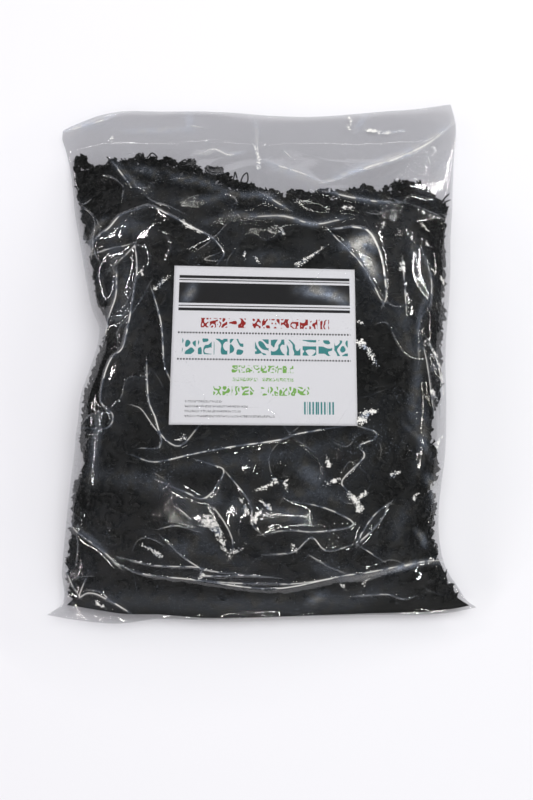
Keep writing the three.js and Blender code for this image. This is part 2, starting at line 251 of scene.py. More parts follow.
# %% [markdown]
# Creased film isn't plain noise. It rests on the seaweed in smooth stretches and stands off it in folds
# that run along sharp lines, because film bends but hardly stretches. Roofs give that: they fall away on
# both sides of the line where a smooth random field passes through nought. A slow random warp bends them
# all.

# %% Random fields
TABLE = 64


def smooth_field(x, y, size, seed):
    """Random values on a square lattice of a size, blended smoothly between the four nearest."""
    table = np.random.default_rng(seed).uniform(-1, 1, (TABLE, TABLE))
    gx, gy = x / size, y / size
    ix, iy = np.floor(gx).astype(int), np.floor(gy).astype(int)
    fx, fy = gx - ix, gy - iy
    fx, fy = fx * fx * (3 - 2 * fx), fy * fy * (3 - 2 * fy)
    low = table[ix % TABLE, iy % TABLE] * (1 - fx) + table[(ix + 1) % TABLE, iy % TABLE] * fx
    high = table[ix % TABLE, (iy + 1) % TABLE] * (1 - fx) + table[(ix + 1) % TABLE, (iy + 1) % TABLE] * fx
    return low * (1 - fy) + high * fy


def fold_field(x, y, size, seed, turn):
    """A smooth random field on a lattice turned by an angle. The folds run where it passes nought."""
    across = x * math.cos(turn) + y * math.sin(turn)
    along = y * math.cos(turn) - x * math.sin(turn)
    return smooth_field(across, along, size, seed)


def warped(x, y, reach, size, seed):
    """The two coordinates, each moved by a smooth random field."""
    return x + reach * smooth_field(x, y, size, seed), y + reach * smooth_field(x, y, size, seed + 1)


print("random tables of", TABLE, "by", TABLE, "values")

# %% [markdown]
# The creases that the picture shows plainly are listed, a row for each: its height in millimetres,
# its width in pixels, and a few points in pixels across and down the picture. A crease is highest in its
# middle and dies out at its two ends, and one flank is gentler than the other.

# %% Creases given one by one
def rows_of(text):
    """The numbers of each row of a text, in the order written. A comma joins the two numbers of a point."""
    return [[float(word) for word in row.replace(",", " ").split()] for row in text.strip().split("\n")]


CREASES = rows_of("""
1.6 2.6 136,208 149,206 171,217 195,229 207,235 219,245 224,254 219,262
1.4 2.6 149,206 123,214 109,228 95,241 92,254
1.0 2.0 93,254 133,243
1.6 2.4 116,264 133,247 135,247 137,272 133,302 129,326 123,348 111,358 103,379 101,402 113,415 107,428 82,428
1.4 2.6 117,272 116,297 109,319 104,340
1.5 2.4 152,290 159,314 162,331 163,350 165,367 170,379
1.0 2.0 168,278 155,288
1.4 2.6 147,360 148,398 155,417 162,436 180,446 199,426
1.2 2.0 132,405 141,409 151,423 161,438 157,448 141,448
1.8 3.0 328,229 358,228 369,232 377,245 383,264 386,295 383,305
1.4 2.4 383,305 362,266 343,245 328,229
1.0 2.0 296,266 324,247
1.3 2.0 402,258 404,280 406,316
0.8 2.6 422,250 431,279 429,305 419,322 419,360
1.0 3.0 250,217 284,216 315,224 353,217
0.9 2.6 260,193 288,209
1.0 2.6 322,192 362,200 401,202
1.0 2.6 111,160 130,185
0.8 1.5 144,193 153,202 168,207 182,213
0.5 1.5 219,253 204,259 213,261 225,261
1.0 1.8 422,340 426,360 430,390 434,418
1.2 1.8 427,339 436,362 441,388 440,415
1.0 2.4 322,184 340,179 373,166 394,160 429,143 452,124
0.9 2.4 267,162 296,172 322,183
0.8 2.0 200,154 214,149 228,155 243,152
0.7 1.8 257,140 259,169
0.7 2.0 367,131 403,132
1.6 2.6 132,455 155,462 193,454 231,447 280,440 298,434 344,426
1.4 2.4 197,460 212,465 224,472 206,498 185,492 157,480
1.3 2.2 206,498 224,522 233,543 229,558
1.4 2.2 226,472 250,503 252,524 262,534
1.0 2.0 160,529 178,526 199,532 204,530
1.1 2.2 174,505 187,516 193,526
1.2 2.2 162,538 199,568 243,575
1.8 2.8 116,564 147,575 199,581 250,588 280,588 336,576 374,570 422,562 445,560
1.4 2.2 122,558 155,566 199,568 203,576 245,576 280,578
1.3 2.4 67,522 78,532 107,555 120,568
1.4 2.4 87,576 79,597 88,593 103,597 132,614
1.3 2.4 358,426 375,432 374,439 359,446 364,457 342,480 348,492 357,509
1.3 2.4 288,501 323,507 354,524 323,531 288,530 261,535
1.4 2.4 390,503 372,518 357,543 380,522 390,503
1.0 2.0 357,544 382,560
1.1 2.2 265,555 294,551 311,536 326,550 353,545
0.9 2.0 307,553 326,564 344,572
1.0 2.0 355,596 388,594 403,599 414,597
0.9 1.6 60,135 66,131 82,127 98,122 112,118 122,111
0.8 1.5 109,137 112,144
0.8 1.5 127,154 137,152
0.8 1.5 184,128 192,126 203,128
0.8 1.5 253,118 257,125
0.8 1.5 283,150 291,158
0.8 1.5 427,152 429,160 432,168
0.8 1.5 425,148 429,155
1.4 2.2 195,578 215,582 250,584 290,583 326,578
1.2 2.0 88,590 101,592 112,602 128,612
1.2 2.0 66,568 72,583 80,597
""")
FLANK = 1.6
CREASE_HEIGHT = 0.8
CREASE_WIDTH = 1.5
STRETCH_STEPS = 4
END_SHARE = 0.03
FAR = 1e6


def rounded(line):
    """A smooth curve through the points of a line: on each stretch the Catmull-Rom cubic, in equal steps."""
    points = np.array(line, float).reshape(-1, 2)
    points = np.concatenate([[2 * points[0] - points[1]], points, [2 * points[-1] - points[-2]]])
    t = np.linspace(0, 1, STRETCH_STEPS, endpoint=False)[:, None]
    parts = []
    for a, b, c, d in zip(points, points[1:], points[2:], points[3:]):
        bend = (2 * a - 5 * b + 4 * c - d) * t ** 2 + (3 * b - 3 * c + d - a) * t ** 3
        parts.append(b + ((c - a) * t + bend) / 2)
    return np.concatenate(parts + [points[-2:-1]])


def nearest_on(line, across, down):
    """Distance of places from a line, above nought on its left side, and the share of the way along it."""
    curve = rounded(line)
    spans = np.linalg.norm(np.diff(curve, axis=0), axis=1)
    reached = np.concatenate([[0], np.cumsum(spans)])
    near = np.full(across.shape, FAR)
    signed, share = near.copy(), np.zeros_like(across)
    for start, end, span, before in zip(curve[:-1], curve[1:], spans, reached):
        run = (end - start) / span
        off_x, off_y = across - start[0], down - start[1]
        along = np.clip(off_x * run[0] + off_y * run[1], 0, span)
        distance = np.hypot(off_x - along * run[0], off_y - along * run[1])
        closer = distance < near
        near = np.where(closer, distance, near)
        signed = np.where(closer, np.where(off_x * run[1] > off_y * run[0], distance, -distance), signed)
        share = np.where(closer, (before + along) / reached[-1], share)
    return signed, share


def taper_along(share):
    """Rises and falls along a line: the root of the sine of the share of the way."""
    return np.sin(np.pi * np.clip(share, END_SHARE, 1 - END_SHARE)) ** 0.5


print(len(CREASES), "creases laid by hand")

# %% [markdown]
# A fold in thin film is sharper than any mesh of a fair size can show. So each crease is made twice. The
# mesh carries its broad roof. The crest of the roof is left to the finish, which gets the signed distance
# from the line at each point of the mesh, bumps the crest and paints a bright line along it, a painted
# highlight. A distance changes evenly from point to point, so the line where it passes nought stays thin and
# clean. Creases that lie close together go to different layers, so that their distances don't mix.

# %% Crests of the creases
LAYERS = 3
CREST_RISE = 0.60
CREST_WIDTH = 0.40
CREST_REACH = (3.0, 6.0)
CROSSING_SHARE = 0.25
LINE_LIMIT = 40.0
# Painted veil: how much faint sheen is painted where the film stands off the seaweed, and how fast it fades
PAINTED_VEIL = 0.016
PAINTED_VEIL_FADE = 16.0


def crease_layers():
    """The creases in groups whose members lie far apart: each joins the group that it is farthest from."""
    groups = [[] for _ in range(LAYERS)]
    for crease in sorted(CREASES, key=lambda entry: -len(entry)):
        curve = rounded(crease[2:])
        gaps = []
        for group in groups:
            apart = [np.linalg.norm(curve[:, None] - rounded(other[2:]), axis=-1).min() for other in group]
            gaps.append(min(apart, default=FAR))
        groups[int(np.argmax(gaps))].append(crease)
    return groups


def laid_creases(across, down):
    """The roofs of the creases, the signed distance and rise of each layer, and a painted veil.

    The roof falls off as e to the minus distance over width, and is wider by FLANK on the left. Distances are
    in crest widths. The veil is a faint painted sheen on the left side, where the film stands off the
    seaweed.
    """
    relief, painted_veil = np.zeros_like(across), np.zeros_like(across)
    lines, rises = [], []
    for group in crease_layers():
        near, line, rise = (np.full(across.shape, value) for value in (FAR, LINE_LIMIT, 0.0))
        for height, width, *points in group:
            signed, share = nearest_on(points, across, down)
            taper, distance = taper_along(share), np.abs(signed)
            flank = width * CREASE_WIDTH * np.where(signed > 0, FLANK, 1.0)
            roof = height * CREASE_HEIGHT * taper * np.exp(-distance / flank)
            relief = np.maximum(relief, roof) + CROSSING_SHARE * np.minimum(relief, roof)
            painted_veil = np.maximum(painted_veil, taper * smooth_step(signed, -1, 1) * np.exp(-distance / PAINTED_VEIL_FADE))
            closer = distance < near
            near = np.where(closer, distance, near)
            crest_width = width * CREST_WIDTH
            line = np.where(closer, np.clip(signed / crest_width, -LINE_LIMIT, LINE_LIMIT), line)
            peak = height * CREST_RISE * taper * (1 - smooth_step(distance, *CREST_REACH))
            rise = np.where(closer, peak, rise)
        lines.append(line)
        rises.append(rise)
    return relief, lines, rises, painted_veil


print("creases in each layer:", *(len(group) for group in crease_layers()))

# %% [markdown]
# Two more things are painted on the film. Soft bands of painted sheen, a dull pale shine, lie along its
# flanks and seals, and small crumpled patches are painted bright where a facet would mirror a lamp. Both
# are listed, as the creases are, and the mesh carries them as values: the share of painted sheen, and how
# many pixels a point lies inside a painted glint's edge.
# values: the share of dull shine, and how many pixels a point lies inside a facet's edge.

# %% Bands of painted sheen and painted glints
PAINTED_GLINT_TAPER = 0.7
# Bands of painted sheen, a dull pale shine that also roughens the film's fine bump: how much, half width
# and points, in pixels of the picture
PAINTED_SHEEN = rows_of("""
0.06 3.6 113,161 124,173 135,182 150,192
0.045 4.0 133,168 146,170 160,174
0.055 4.2 166,170 177,178 190,180 208,184 222,190 231,193
0.05 3.4 174,202 198,201 216,198 230,193
0.085 3.2 227,191 244,196 259,195 274,201 290,210
0.075 3.0 205,222 222,218 232,216 250,216 284,217 303,221 316,224 328,222 344,217
0.1 1.6 296,221 308,224 320,224
0.075 2.6 322,190 343,196 362,200 382,202 404,201
0.06 2.6 420,248 429,272 430,291 422,308 418,326 421,356
0.05 5.0 420,350 417,380 413,410 424,438
0.055 2.6 404,424 417,436 428,450 432,460
0.07 2.6 106,218 97,228 91,240 89,252
0.06 2.4 112,258 115,274 112,296 108,316
0.07 2.4 84,236 82,252 84,268
0.06 2.4 66,521 82,531 98,545 111,561 124,570
0.03 9.0 70,605 120,600 180,603 240,607 300,606 360,606
0.16 2.6 340,579 364,576 392,569 407,565 428,562 450,561
0.1 2.2 392,571 404,567 415,564
0.36 5.5 346,245 357,244 369,239 374,247
0.3 6.0 357,248 365,258 371,268 376,278
0.12 3.5 427,476 433,486 434,500
0.12 3.0 417,531 423,538 425,547
0.1 4.0 430,365 438,370
0.1 4.0 308,604 318,598 326,594
0.15 6.0 298,289 318,290 335,296 350,302
0.13 3.5 308,293 326,294 344,300
0.14 4.5 194,284 190,293 184,301
0.2 1.4 60,134 66,130 84,125 104,119 122,110
0.1 5.0 189,112 190,130
0.16 1.6 192,152 206,154 216,150 230,155 243,152
0.28 1.7 324,183 345,175 372,167 394,159 418,150 440,134 452,124
0.12 4.0 330,178 372,164 412,150 450,124
0.1 4.0 262,160 290,172 322,184
0.12 2.6 256,118 257,134 256,150 259,168
0.1 3.0 122,130 140,131 196,129
0.08 6.0 70,140 78,128 110,120
0.1 3.0 368,112 360,124 352,134
0.03 9.0 78,474 92,475 150,482 190,505 205,545 240,565 262,560
0.03 7.0 282,495 320,494 350,502
0.026 7.0 160,468 230,462 300,452 345,442
0.03 8.0 300,590 345,600 385,590
0.034 6.0 127,262 126,290 120,330
0.026 8.0 402,330 410,350 398,300
0.03 5.0 312,562 330,572 352,570
0.03 8.0 244,262 270,258 290,262
0.026 8.0 412,505 400,520 396,545
0.1 9.0 424,186 440,184 449,162
0.05 5.0 92,484 95,450 100,415
0.05 5.0 421,398 424,435 418,472
0.08 7.0 262,516 295,515 312,523
0.07 8.0 298,466 310,474 322,484
0.05 6.0 206,497 222,502
0.05 6.0 236,500 234,516
0.04 7.0 168,545 196,552
0.055 5.0 411,238 417,262 425,300
0.04 8.0 102,240 126,226 150,232
0.04 5.0 104,254 130,250
0.05 3.0 98,272 103,298
""")
# Painted glints, bright where a facet of the film would mirror a lamp: half width at the start, where it is
# widest, and points of the picture
PAINTED_GLINTS = rows_of("""
6.2 208,522 216,530 224,545
1.8 223,549 231,558
2.2 276,481 266,487 255,491
2.4 270,508 265,504 260,501
3.0 253,522 258,515 263,509
2.0 247,513 243,505 241,498
1.9 285,486 287,478
1.8 232,553 240,550 245,544
2.2 160,556 151,550 142,545
1.6 96,603 103,607 112,610
2.0 200,578 207,571
2.4 184,437 176,440
2.2 326,484 334,481 340,478
2.4 329,465 327,458
2.3 392,475 400,471
1.9 414,498 419,493
1.6 364,584 368,579
1.5 342,584 346,589
1.8 293,546 297,552
2.8 402,268 403,261
2.4 298,264 310,257 323,248
3.4 360,342 366,347 372,356 377,366
1.5 359,321 364,325
1.8 344,208 355,208
1.6 155,288 162,283 169,275
1.4 245,258 244,250
1.4 256,258 259,263
1.6 184,224 199,232
1.6 259,169 258,158 255,145
1.3 112,137 110,144
4.4 361,418 367,413 377,411
2.2 360,424 370,420
3.8 360,509 356,500 349,493
1.7 366,493 360,497
2.2 432,392 437,400
1.7 437,446 442,437
1.3 441,277 444,284
1.2 423,225 428,231
1.2 426,243 430,247
1.1 425,342 431,343
1.1 430,344 435,355 440,373 443,394
1.2 384,223 383,229
1.2 270,230 276,234
1.2 282,230 285,238
1.2 141,270 143,276
1.5 367,130 385,133 403,131
1.8 349,128 350,114
""")


def painted_sheen_over(across, down):
    """The share of painted sheen: e to the minus squared distance over half width, added up over the bands.
    """
    total = np.zeros_like(across)
    for strength, width, *points in PAINTED_SHEEN:
        signed, share = nearest_on(points, across, down)
        total += strength * taper_along(share) * np.exp(-(signed / width) ** 2)
    return total


def painted_glints_over(across, down):
    """Pixels inside the nearest painted glint's edge: its half width there less the distance."""
    inside = np.full(across.shape, -LINE_LIMIT)
    for width, *points in PAINTED_GLINTS:
        signed, share = nearest_on(points, across, down)
        inside = np.maximum(inside, width * (1 - PAINTED_GLINT_TAPER * share) - np.abs(signed))
    return inside


print(len(PAINTED_SHEEN), "bands of shine and", len(PAINTED_GLINTS), "facets laid by hand")

# %% [markdown]
# The film is one closed surface: many columns over the face that the camera sees, and a tenth as many
# underneath. Each point of the smooth tube is moved along its outward direction by the height of the
# creases there. Near the two seals the film is pressed flat, and the seal itself is a narrow welded line.

# %% The film
FILM_ROWS = 302
FACE_COLUMNS = 300
BACK_SHARE = 10
SEAL_ROW = 179.0
SEAL_HALF_WIDTH = 1.8
LOWEST_RELIEF = -1.0
FOLD_RISE = 1.2
BROAD_FOLD = 3.0
SMALL_FOLD = 1.3
FOLD_CREST_RISE = 0.5
FOLD_CREST_WIDTH = 0.5
RIPPLE = 0.2
# Size, seed and, for the folds, turn of each random field. The warp has a reach before them.
WARP = (14, 46, 11)
BROAD_LATTICE = (54, 21, 0.5)
SMALL_LATTICE = (26, 22, 1.2)
RIPPLE_LATTICE = (12, 23)
CRIMP_LATTICE = (8, 24)
PRESENT_LATTICE = (34, 31)
PART_LATTICE = 19
PART_SEEDS = (33, 34)
UNDERSIDE_SHIFT = 400
LEAST_STEP = 0.05
LEAST_STEEPNESS = 0.004
ARC_GAIN = 0.6
# Rows where the film rests on the filling, where it lies free, and where the bottom seal is crimped
FILLED_ROWS = (-200, -189, 128, 168)
FREE_ROWS = (140, 172)
CRIMPED_ROWS = (-199, -193)
CRIMP = 0.45
WELD = 0.15
WELD_FLATNESS = 0.85
WELD_REACH = (6, 1)
FREE_FOLDS = 0.08
FREE_CREASES = 0.5
FREE_CRESTS = 0.10
# How much painted veil lies beside the random folds
RANDOM_PAINTED_VEIL = 0.8
FOLD_SHARE = 0.35


def tube_columns():
    """Side and rise of each column: the sine of even steps, so that columns crowd towards the folds."""
    face = np.sin(np.linspace(1, -1, FACE_COLUMNS + 1) * np.pi / 2)
    back = face[::-1][BACK_SHARE:-1:BACK_SHARE]
    sides = np.concatenate([face, back])
    rises = np.concatenate([np.ones(len(face)), -np.ones(len(back))])
    return sides, rises


def distance_from_nought(field, points):
    """Signed distance from the line where a field passes nought: the field over its steepness."""
    steep = np.zeros_like(field)
    for axis in (0, 1):
        step = np.linalg.norm(np.gradient(points, axis=axis), axis=-1)
        steep += (np.gradient(field, axis=axis) / np.maximum(step, LEAST_STEP)) ** 2
    return field / (np.sqrt(steep) + LEAST_STEEPNESS)


def film_relief(side, rise, row, points):
    """Height of the film over the smooth tube, and the values that the finish reads at each point."""
    arc = points[..., 0] + np.sign(points[..., 0]) * (crest(row) - points[..., 2]) * ARC_GAIN
    x, y = warped(arc + UNDERSIDE_SHIFT * (rise < 0), row, *WARP)
    broad, small = fold_field(x, y, *BROAD_LATTICE), fold_field(x, y, *SMALL_LATTICE)
    folds = FOLD_RISE - BROAD_FOLD * np.abs(broad) - SMALL_FOLD * np.abs(small)
    folds += RIPPLE * smooth_field(x, y, *RIPPLE_LATTICE)
    across, down = pixels_of(points * MM)
    roofs, lines, rises, painted_veil = laid_creases(across, down)
    face = (rise > 0) * 1.0
    filled = between(row, *FILLED_ROWS)
    free = smooth_step(row, *FREE_ROWS)
    free = free * (1 - WELD_FLATNESS * smooth_step(np.abs(row - SEAL_ROW), *WELD_REACH))
    seal = CRIMP * smooth_field(x, row * 3, *CRIMP_LATTICE) * (1 - smooth_step(row, *CRIMPED_ROWS))
    weld = WELD * np.exp(-((row - SEAL_ROW) / SEAL_HALF_WIDTH) ** 2)
    relief = folds * (filled + FREE_FOLDS * free)
    relief = relief + roofs * face * np.maximum(filled, FREE_CREASES * free) + seal + weld
    relief = LOWEST_RELIEF + np.logaddexp(0, 2.0 * (relief - LOWEST_RELIEF)) / 2.0
    relief[1:-1] = (relief[:-2] + 2 * relief[1:-1] + relief[2:]) / 4
    relief = (np.roll(relief, 1, axis=1) + 2 * relief + np.roll(relief, -1, axis=1)) / 4
    values = {}
    for k, (line, crest_rise) in enumerate(zip(lines, rises)):
        values[f"line_{k}"], values[f"rise_{k}"] = line, crest_rise * face
    present = smooth_step(smooth_field(x, y, *PRESENT_LATTICE), -0.15, 0.45) * (filled + FREE_CRESTS * free)
    for key, field, seed in zip(("broad", "small"), (broad, small), PART_SEEDS):
        distance = distance_from_nought(field, points)
        values["line_" + key] = np.clip(distance / FOLD_CREST_WIDTH, -LINE_LIMIT, LINE_LIMIT)
        part = present * smooth_step(smooth_field(x, y, PART_LATTICE, seed), -0.3, 0.3)
        values["rise_" + key] = FOLD_CREST_RISE * part * (1 - smooth_step(np.abs(distance), *CREST_REACH))
        # Painted veil beside the random folds, where the film stands off the seaweed
        stands_off = present * smooth_step(distance, -1, 1) * np.exp(-np.abs(distance) / PAINTED_VEIL_FADE)
        painted_veil = np.maximum(painted_veil, RANDOM_PAINTED_VEIL * stands_off)
    # The share of painted sheen: the painted veil where the film rests on the filling, and the listed bands
    values["painted_sheen"] = (PAINTED_VEIL * painted_veil * filled + painted_sheen_over(across, down)) * face
    # Painted glints: how far each point lies inside a listed facet's edge
    values["painted_glint"] = np.where(rise > 0, painted_glints_over(across, down), -LINE_LIMIT)
    return relief, values


def mesh_object(name, points, faces, material, smooth=True):
    """A mesh object at the origin from points in metres and faces as index lists or a whole array."""
    mesh = bpy.data.meshes.new(name)
    mesh.from_pydata(points.tolist(), [], faces.tolist() if isinstance(faces, np.ndarray) else faces)
    mesh.polygons.foreach_set("use_smooth", np.full(len(mesh.polygons), smooth))
    mesh.materials.append(material)
    mesh.update()
    thing = bpy.data.objects.new(name, mesh)
    bpy.context.scene.collection.objects.link(thing)
    return thing


def ring_faces(rings, count):
    """Four-sided faces between neighbouring rings, facing out when a ring runs right, over, left."""
    row, column = np.meshgrid(np.arange(rings - 1), np.arange(count), indexing="ij")
    here = row * count + column
    beside = row * count + (column + 1) % count
    return np.stack([here, here + count, beside + count, beside], axis=-1).reshape(-1, 4)


def end_faces(count, offset, flip):
    """Closes one end of the film: each step of the back faces as many steps of the front."""
    faces = []
    for k in range(FACE_COLUMNS // BACK_SHARE):
        front = [offset + k * BACK_SHARE + i for i in range(BACK_SHARE + 1)]
        back = [offset + (count - k - i) % count for i in (1, 0)]
        if k == FACE_COLUMNS // BACK_SHARE - 1:
            back = back[1:]
        if k == 0:
            back = back[:1]
        face = front + back
        faces.append(face[::-1] if flip else face)
    return faces


def film_mesh(material):
    """The film: the smooth tube moved outward by its relief, of which the side folds take a share."""
    sides, rises = tube_columns()
    rows = np.linspace(BOTTOM_LINE, TOP_LINE, FILM_ROWS)
    row, side = np.meshgrid(rows, sides, indexing="ij")
    rise = np.broadcast_to(rises, side.shape)
    smooth = skin(side, rise, row, 0.0)
    normal = skin_normal(side, rise, row, 0.0)
    relief, values = film_relief(side, rise, row, smooth)
    bulge = np.maximum(0, 1 - np.abs(side) ** 6)
    points = smooth + normal * (relief * (FOLD_SHARE + (1 - FOLD_SHARE) * bulge))[..., None]
    points[..., 2] = np.maximum(points[..., 2], LEAST_HEIGHT)
    count = len(sides)
    faces = ring_faces(FILM_ROWS, count).tolist()
    faces += end_faces(count, 0, False) + end_faces(count, (FILM_ROWS - 1) * count, True)
    thing = mesh_object("film", points.reshape(-1, 3) * MM, faces, material)
    for key, value in values.items():
        layer = thing.data.attributes.new(key, "FLOAT", "POINT")
        layer.data.foreach_set("value", value.ravel().astype(np.float32))
    return thing


# %% [markdown]
# A finish is a small graph of shader nodes. The graph is easier to read as sums, so one class wraps a
# socket and turns plus, minus, times and over into Math nodes, and another holds the material and makes any
# other node.

# %% Shader sums
def sum_of(operation, swap=False):
    """A method that joins a wire and another value by one Math node."""

    def method(self, other=0.0):
        node = self.tree.nodes.new("ShaderNodeMath")
        node.operation = operation
        for slot, value in zip(node.inputs, (other, self) if swap else (self, other)):
            plug(self.tree, slot, value)
        return Wire(self.tree, node.outputs[0])

    return method


class Wire:
    """One output socket, so that shader maths reads as ordinary sums."""

    def __init__(self, tree, socket):
        self.tree = tree
        self.socket = socket

    __add__ = __radd__ = sum_of("ADD")
    __mul__ = __rmul__ = sum_of("MULTIPLY")
    __sub__ = sum_of("SUBTRACT")
    __rsub__ = sum_of("SUBTRACT", swap=True)
    __truediv__ = sum_of("DIVIDE")
    __rtruediv__ = sum_of("DIVIDE", swap=True)
    __gt__ = sum_of("GREATER_THAN")
    __lt__ = sum_of("LESS_THAN")
    least = sum_of("MINIMUM")
    most = sum_of("MAXIMUM")
    fraction = sum_of("FRACT")

    def ramp(self, gain, start, low=0.0):
        """A straight rise, gain times the value less a start, kept between low and 1."""
        return (self * gain - start).most(low).least(1.0)


def plug(tree, slot, value):
    """Links a wire to a socket, or sets the socket to a plain value."""
    if isinstance(value, Wire):
        tree.links.new(value.socket, slot)
    else:
        slot.default_value = value


class Finish:
    """A material under construction."""

    def __init__(self, name):
        self.material = bpy.data.materials.new(name)
        self.material.use_nodes = True
        self.tree = self.material.node_tree
        self.tree.nodes.clear()

    def node(self, kind, output=0, settings=None, **sockets):
        """Any node: its type, the output wanted, its settings, and its sockets by name, _ for a space."""
        node = self.tree.nodes.new(kind)
        for key, value in (settings or {}).items():
            setattr(node, key, value)
        for key, value in sockets.items():
            name = key.replace("_", " ")
            slot = node.inputs[int(key[1:])] if key[0] == "n" and key[1:].isdigit() else node.inputs[name]
            plug(self.tree, slot, value)
        return Wire(self.tree, node.outputs[output])

    def noise(self, place, scale, detail):
        """A smooth random value over a place."""
        return self.node("ShaderNodeTexNoise", Vector=place, Scale=scale, Detail=detail)

    def blend(self, factor, first, second):
        """A colour between two, by a factor."""
        kind = {"data_type": "RGBA"}
        return self.node("ShaderNodeMix", output=2, settings=kind, n0=factor, n6=first, n7=second)

    def finish(self, shader):
        """Sends the shader to the surface and returns the material."""
        end = self.tree.nodes.new("ShaderNodeOutputMaterial")
        self.tree.links.new(shader.socket, end.inputs["Surface"])
        return self.material


# %% [markdown]
# Clear film hardly scatters light. What shows is a little grey where it is looked through, and strong
# reflections where a facet turns a lamp towards the eye. So the film mixes a grey see-through shader with a
# glossy one, and the share of gloss grows towards grazing angles, as it does on any clear plastic. A sharp
# crest points every way at once, so some part of it always catches a lamp, and so does a crumpled facet.
# These highlights are also painted: a third shader, dull and pale, paints a bright line along the crests, the
# glints of the facets, the soft bands of sheen, and glinting specks where the film touches the seaweed.

# %% Film finish
FILM_TINT = (0.858, 0.858, 0.864, 1)
FACE_ON_GLOSS = 0.075
GRAZING_GLOSS = 0.6
FILM_ROUGHNESS = 0.05
MIRROR = (0.97, 0.97, 0.98, 1)
GRAIN_SCALE = 330.0
PATCH_SCALE = 34.0
RUN_SCALE = 110.0
FINE_SCALE = 1000.0
GRAIN_HEIGHT = 0.6
LEAST_GRAIN = 0.07
CRUMPLE = 2.5
# Painted highlights: the line along each crest, the glints and their flecks, the tints and most of the
# painted shine, and specks
PAINTED_LINE_SHARPNESS = 1.7
PAINTED_LINE_GAIN = 0.80
LEAST_PAINTED_LINE = 0.15
LEAST_GLINT_FLECK = 0.36
RANDOM_PAINTED_LINE = 0.35
PAINTED_GLINT_EDGE = 0.9
PAINTED_GLINT_RAGGED = 5.5
WARM_PAINTED_SHINE = (0.88, 0.87, 0.83, 1)
COOL_PAINTED_SHINE = (0.67, 0.77, 0.95, 1)
MOST_PAINTED_SHINE = 0.85
PAINTED_SPECK = 0.15


def film_finish():
    """Clear and glossy shaders mixed by the grazing angle, then mixed with a dull pale one by the painted
    shine.
    """
    film = Finish("clear_film")
    place = film.node("ShaderNodeTexCoord", output=3)
    grain = film.noise(place, GRAIN_SCALE, 2.0)
    patch = film.noise(place, PATCH_SCALE, 1.0)

    def value_of(key):
        return film.node("ShaderNodeAttribute", output=2, settings={"attribute_name": key})

    painted_sheen = value_of("painted_sheen")
    touching = patch.ramp(6.0, 3.3, LEAST_GRAIN) + painted_sheen * CRUMPLE
    height = grain * touching * GRAIN_HEIGHT
    runs = film.noise(place, RUN_SCALE, 1.0)
    # Each crest gets a bump, and a bright line painted along it
    edge = 0.0
    random_folds = [("broad", RANDOM_PAINTED_LINE), ("small", RANDOM_PAINTED_LINE)]
    for key, part in [(str(k), 1.0) for k in range(LAYERS)] + random_folds:
        line, rise = value_of("line_" + key), value_of("rise_" + key)
        height = height + rise / (1.0 + line * line)
        near = line * PAINTED_LINE_SHARPNESS
        near = near * near
        edge = rise * part / (1.0 + near * near) + edge
    # The painted highlight along the crests, brighter and fainter in runs
    core = edge * runs.ramp(6.0, 2.4, LEAST_PAINTED_LINE) * PAINTED_LINE_GAIN
    bump = film.node("ShaderNodeBump", Strength=1.0, Distance=MM, Height=height)
    grazing = film.node("ShaderNodeLayerWeight", output=1, Blend=0.5, Normal=bump)
    square = grazing * grazing
    share = FACE_ON_GLOSS + square * square * grazing * GRAZING_GLOSS
    clear = film.node("ShaderNodeBsdfTransparent", Color=FILM_TINT)
    gloss = film.node("ShaderNodeBsdfPrincipled", Base_Color=MIRROR, Metallic=1.0,
                      Roughness=FILM_ROUGHNESS, Normal=bump)
    bright = film.node("ShaderNodeMixShader", n0=share, n1=clear, n2=gloss)
    fine = film.noise(place, FINE_SCALE, 0.0)
    # Painted glints: bright flecks filling each listed facet, with ragged edges
    glint_flecks = (grain * 8.0 + fine * 7.0 - 7.0).most(LEAST_GLINT_FLECK).least(1.0) * (runs * 2.0 - 0.1).least(1.0)
    ragged = (grain + fine - 1.0) * PAINTED_GLINT_RAGGED
    painted_glint = (value_of("painted_glint") * PAINTED_GLINT_EDGE + ragged).most(0.0).least(1.0) * glint_flecks
    # Painted glints: fine bright specks where the film touches the seaweed
    painted_specks = fine.ramp(12.0, 8.4) * touching * PAINTED_SPECK
    # All the painted shine: sheen, glints, crest lines and specks
    painted_shine = painted_sheen * (grain * 1.2 + fine * 0.8) + painted_glint + core + painted_specks
    # The painted shine is warm where it is strong and cool where it is faint
    warm = (runs * 5.0 - 2.4 + painted_glint * 3.0 + core * 2.0 + painted_sheen * 3.0).most(0.0).least(1.0)
    tint = film.blend(warm, COOL_PAINTED_SHINE, WARM_PAINTED_SHINE)
    # A dull pale shader that paints the highlights where the painted shine calls for it
    painted_shine_shader = film.node("ShaderNodeBsdfPrincipled", Base_Color=tint, Roughness=0.4, Normal=bump)
    return film.finish(film.node("ShaderNodeMixShader", n0=painted_shine.least(MOST_PAINTED_SHINE), n1=bright, n2=painted_shine_shader))


film = film_mesh(film_finish())
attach(film, "root")
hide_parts("film_bag")
print("film", len(film.data.polygons), "faces")

# %% [markdown]
# Dried cut wakame is a heap of scraps a few millimetres long. Each was a piece of leaf that shrank, curled
# and twisted as it dried. One scrap is a narrow strip carried along a short wandering path, and it twists
# as it goes. All scraps of a piece are worked out at once, as arrays of scraps by stations by corners.

# %% Scraps of seaweed
STATIONS = 6
CORNERS = 4
CORNER_ACROSS = np.array([1.0, 0.0, -1.0, 0.0])
CORNER_UP = np.array([0.0, 1.0, 0.0, -1.0])
LIFT_SPREAD = 0.75
END_TAPER = 0.75
SWELL = (0.65, 1.25)
# Length and width come from gamma draws, given as shape and scale, and are kept between two limits
LENGTH_DRAW, LENGTHS = (5, 1.5), (3.0, 15)
WIDTH_DRAW, WIDTHS = (4, 0.62), (1.1, 4.6)
THICKNESSES = (0.6, 1.0)


def unit(vectors):
    """Each vector over its length."""
    return vectors / np.maximum(np.linalg.norm(vectors, axis=-1, keepdims=True), 1e-9)


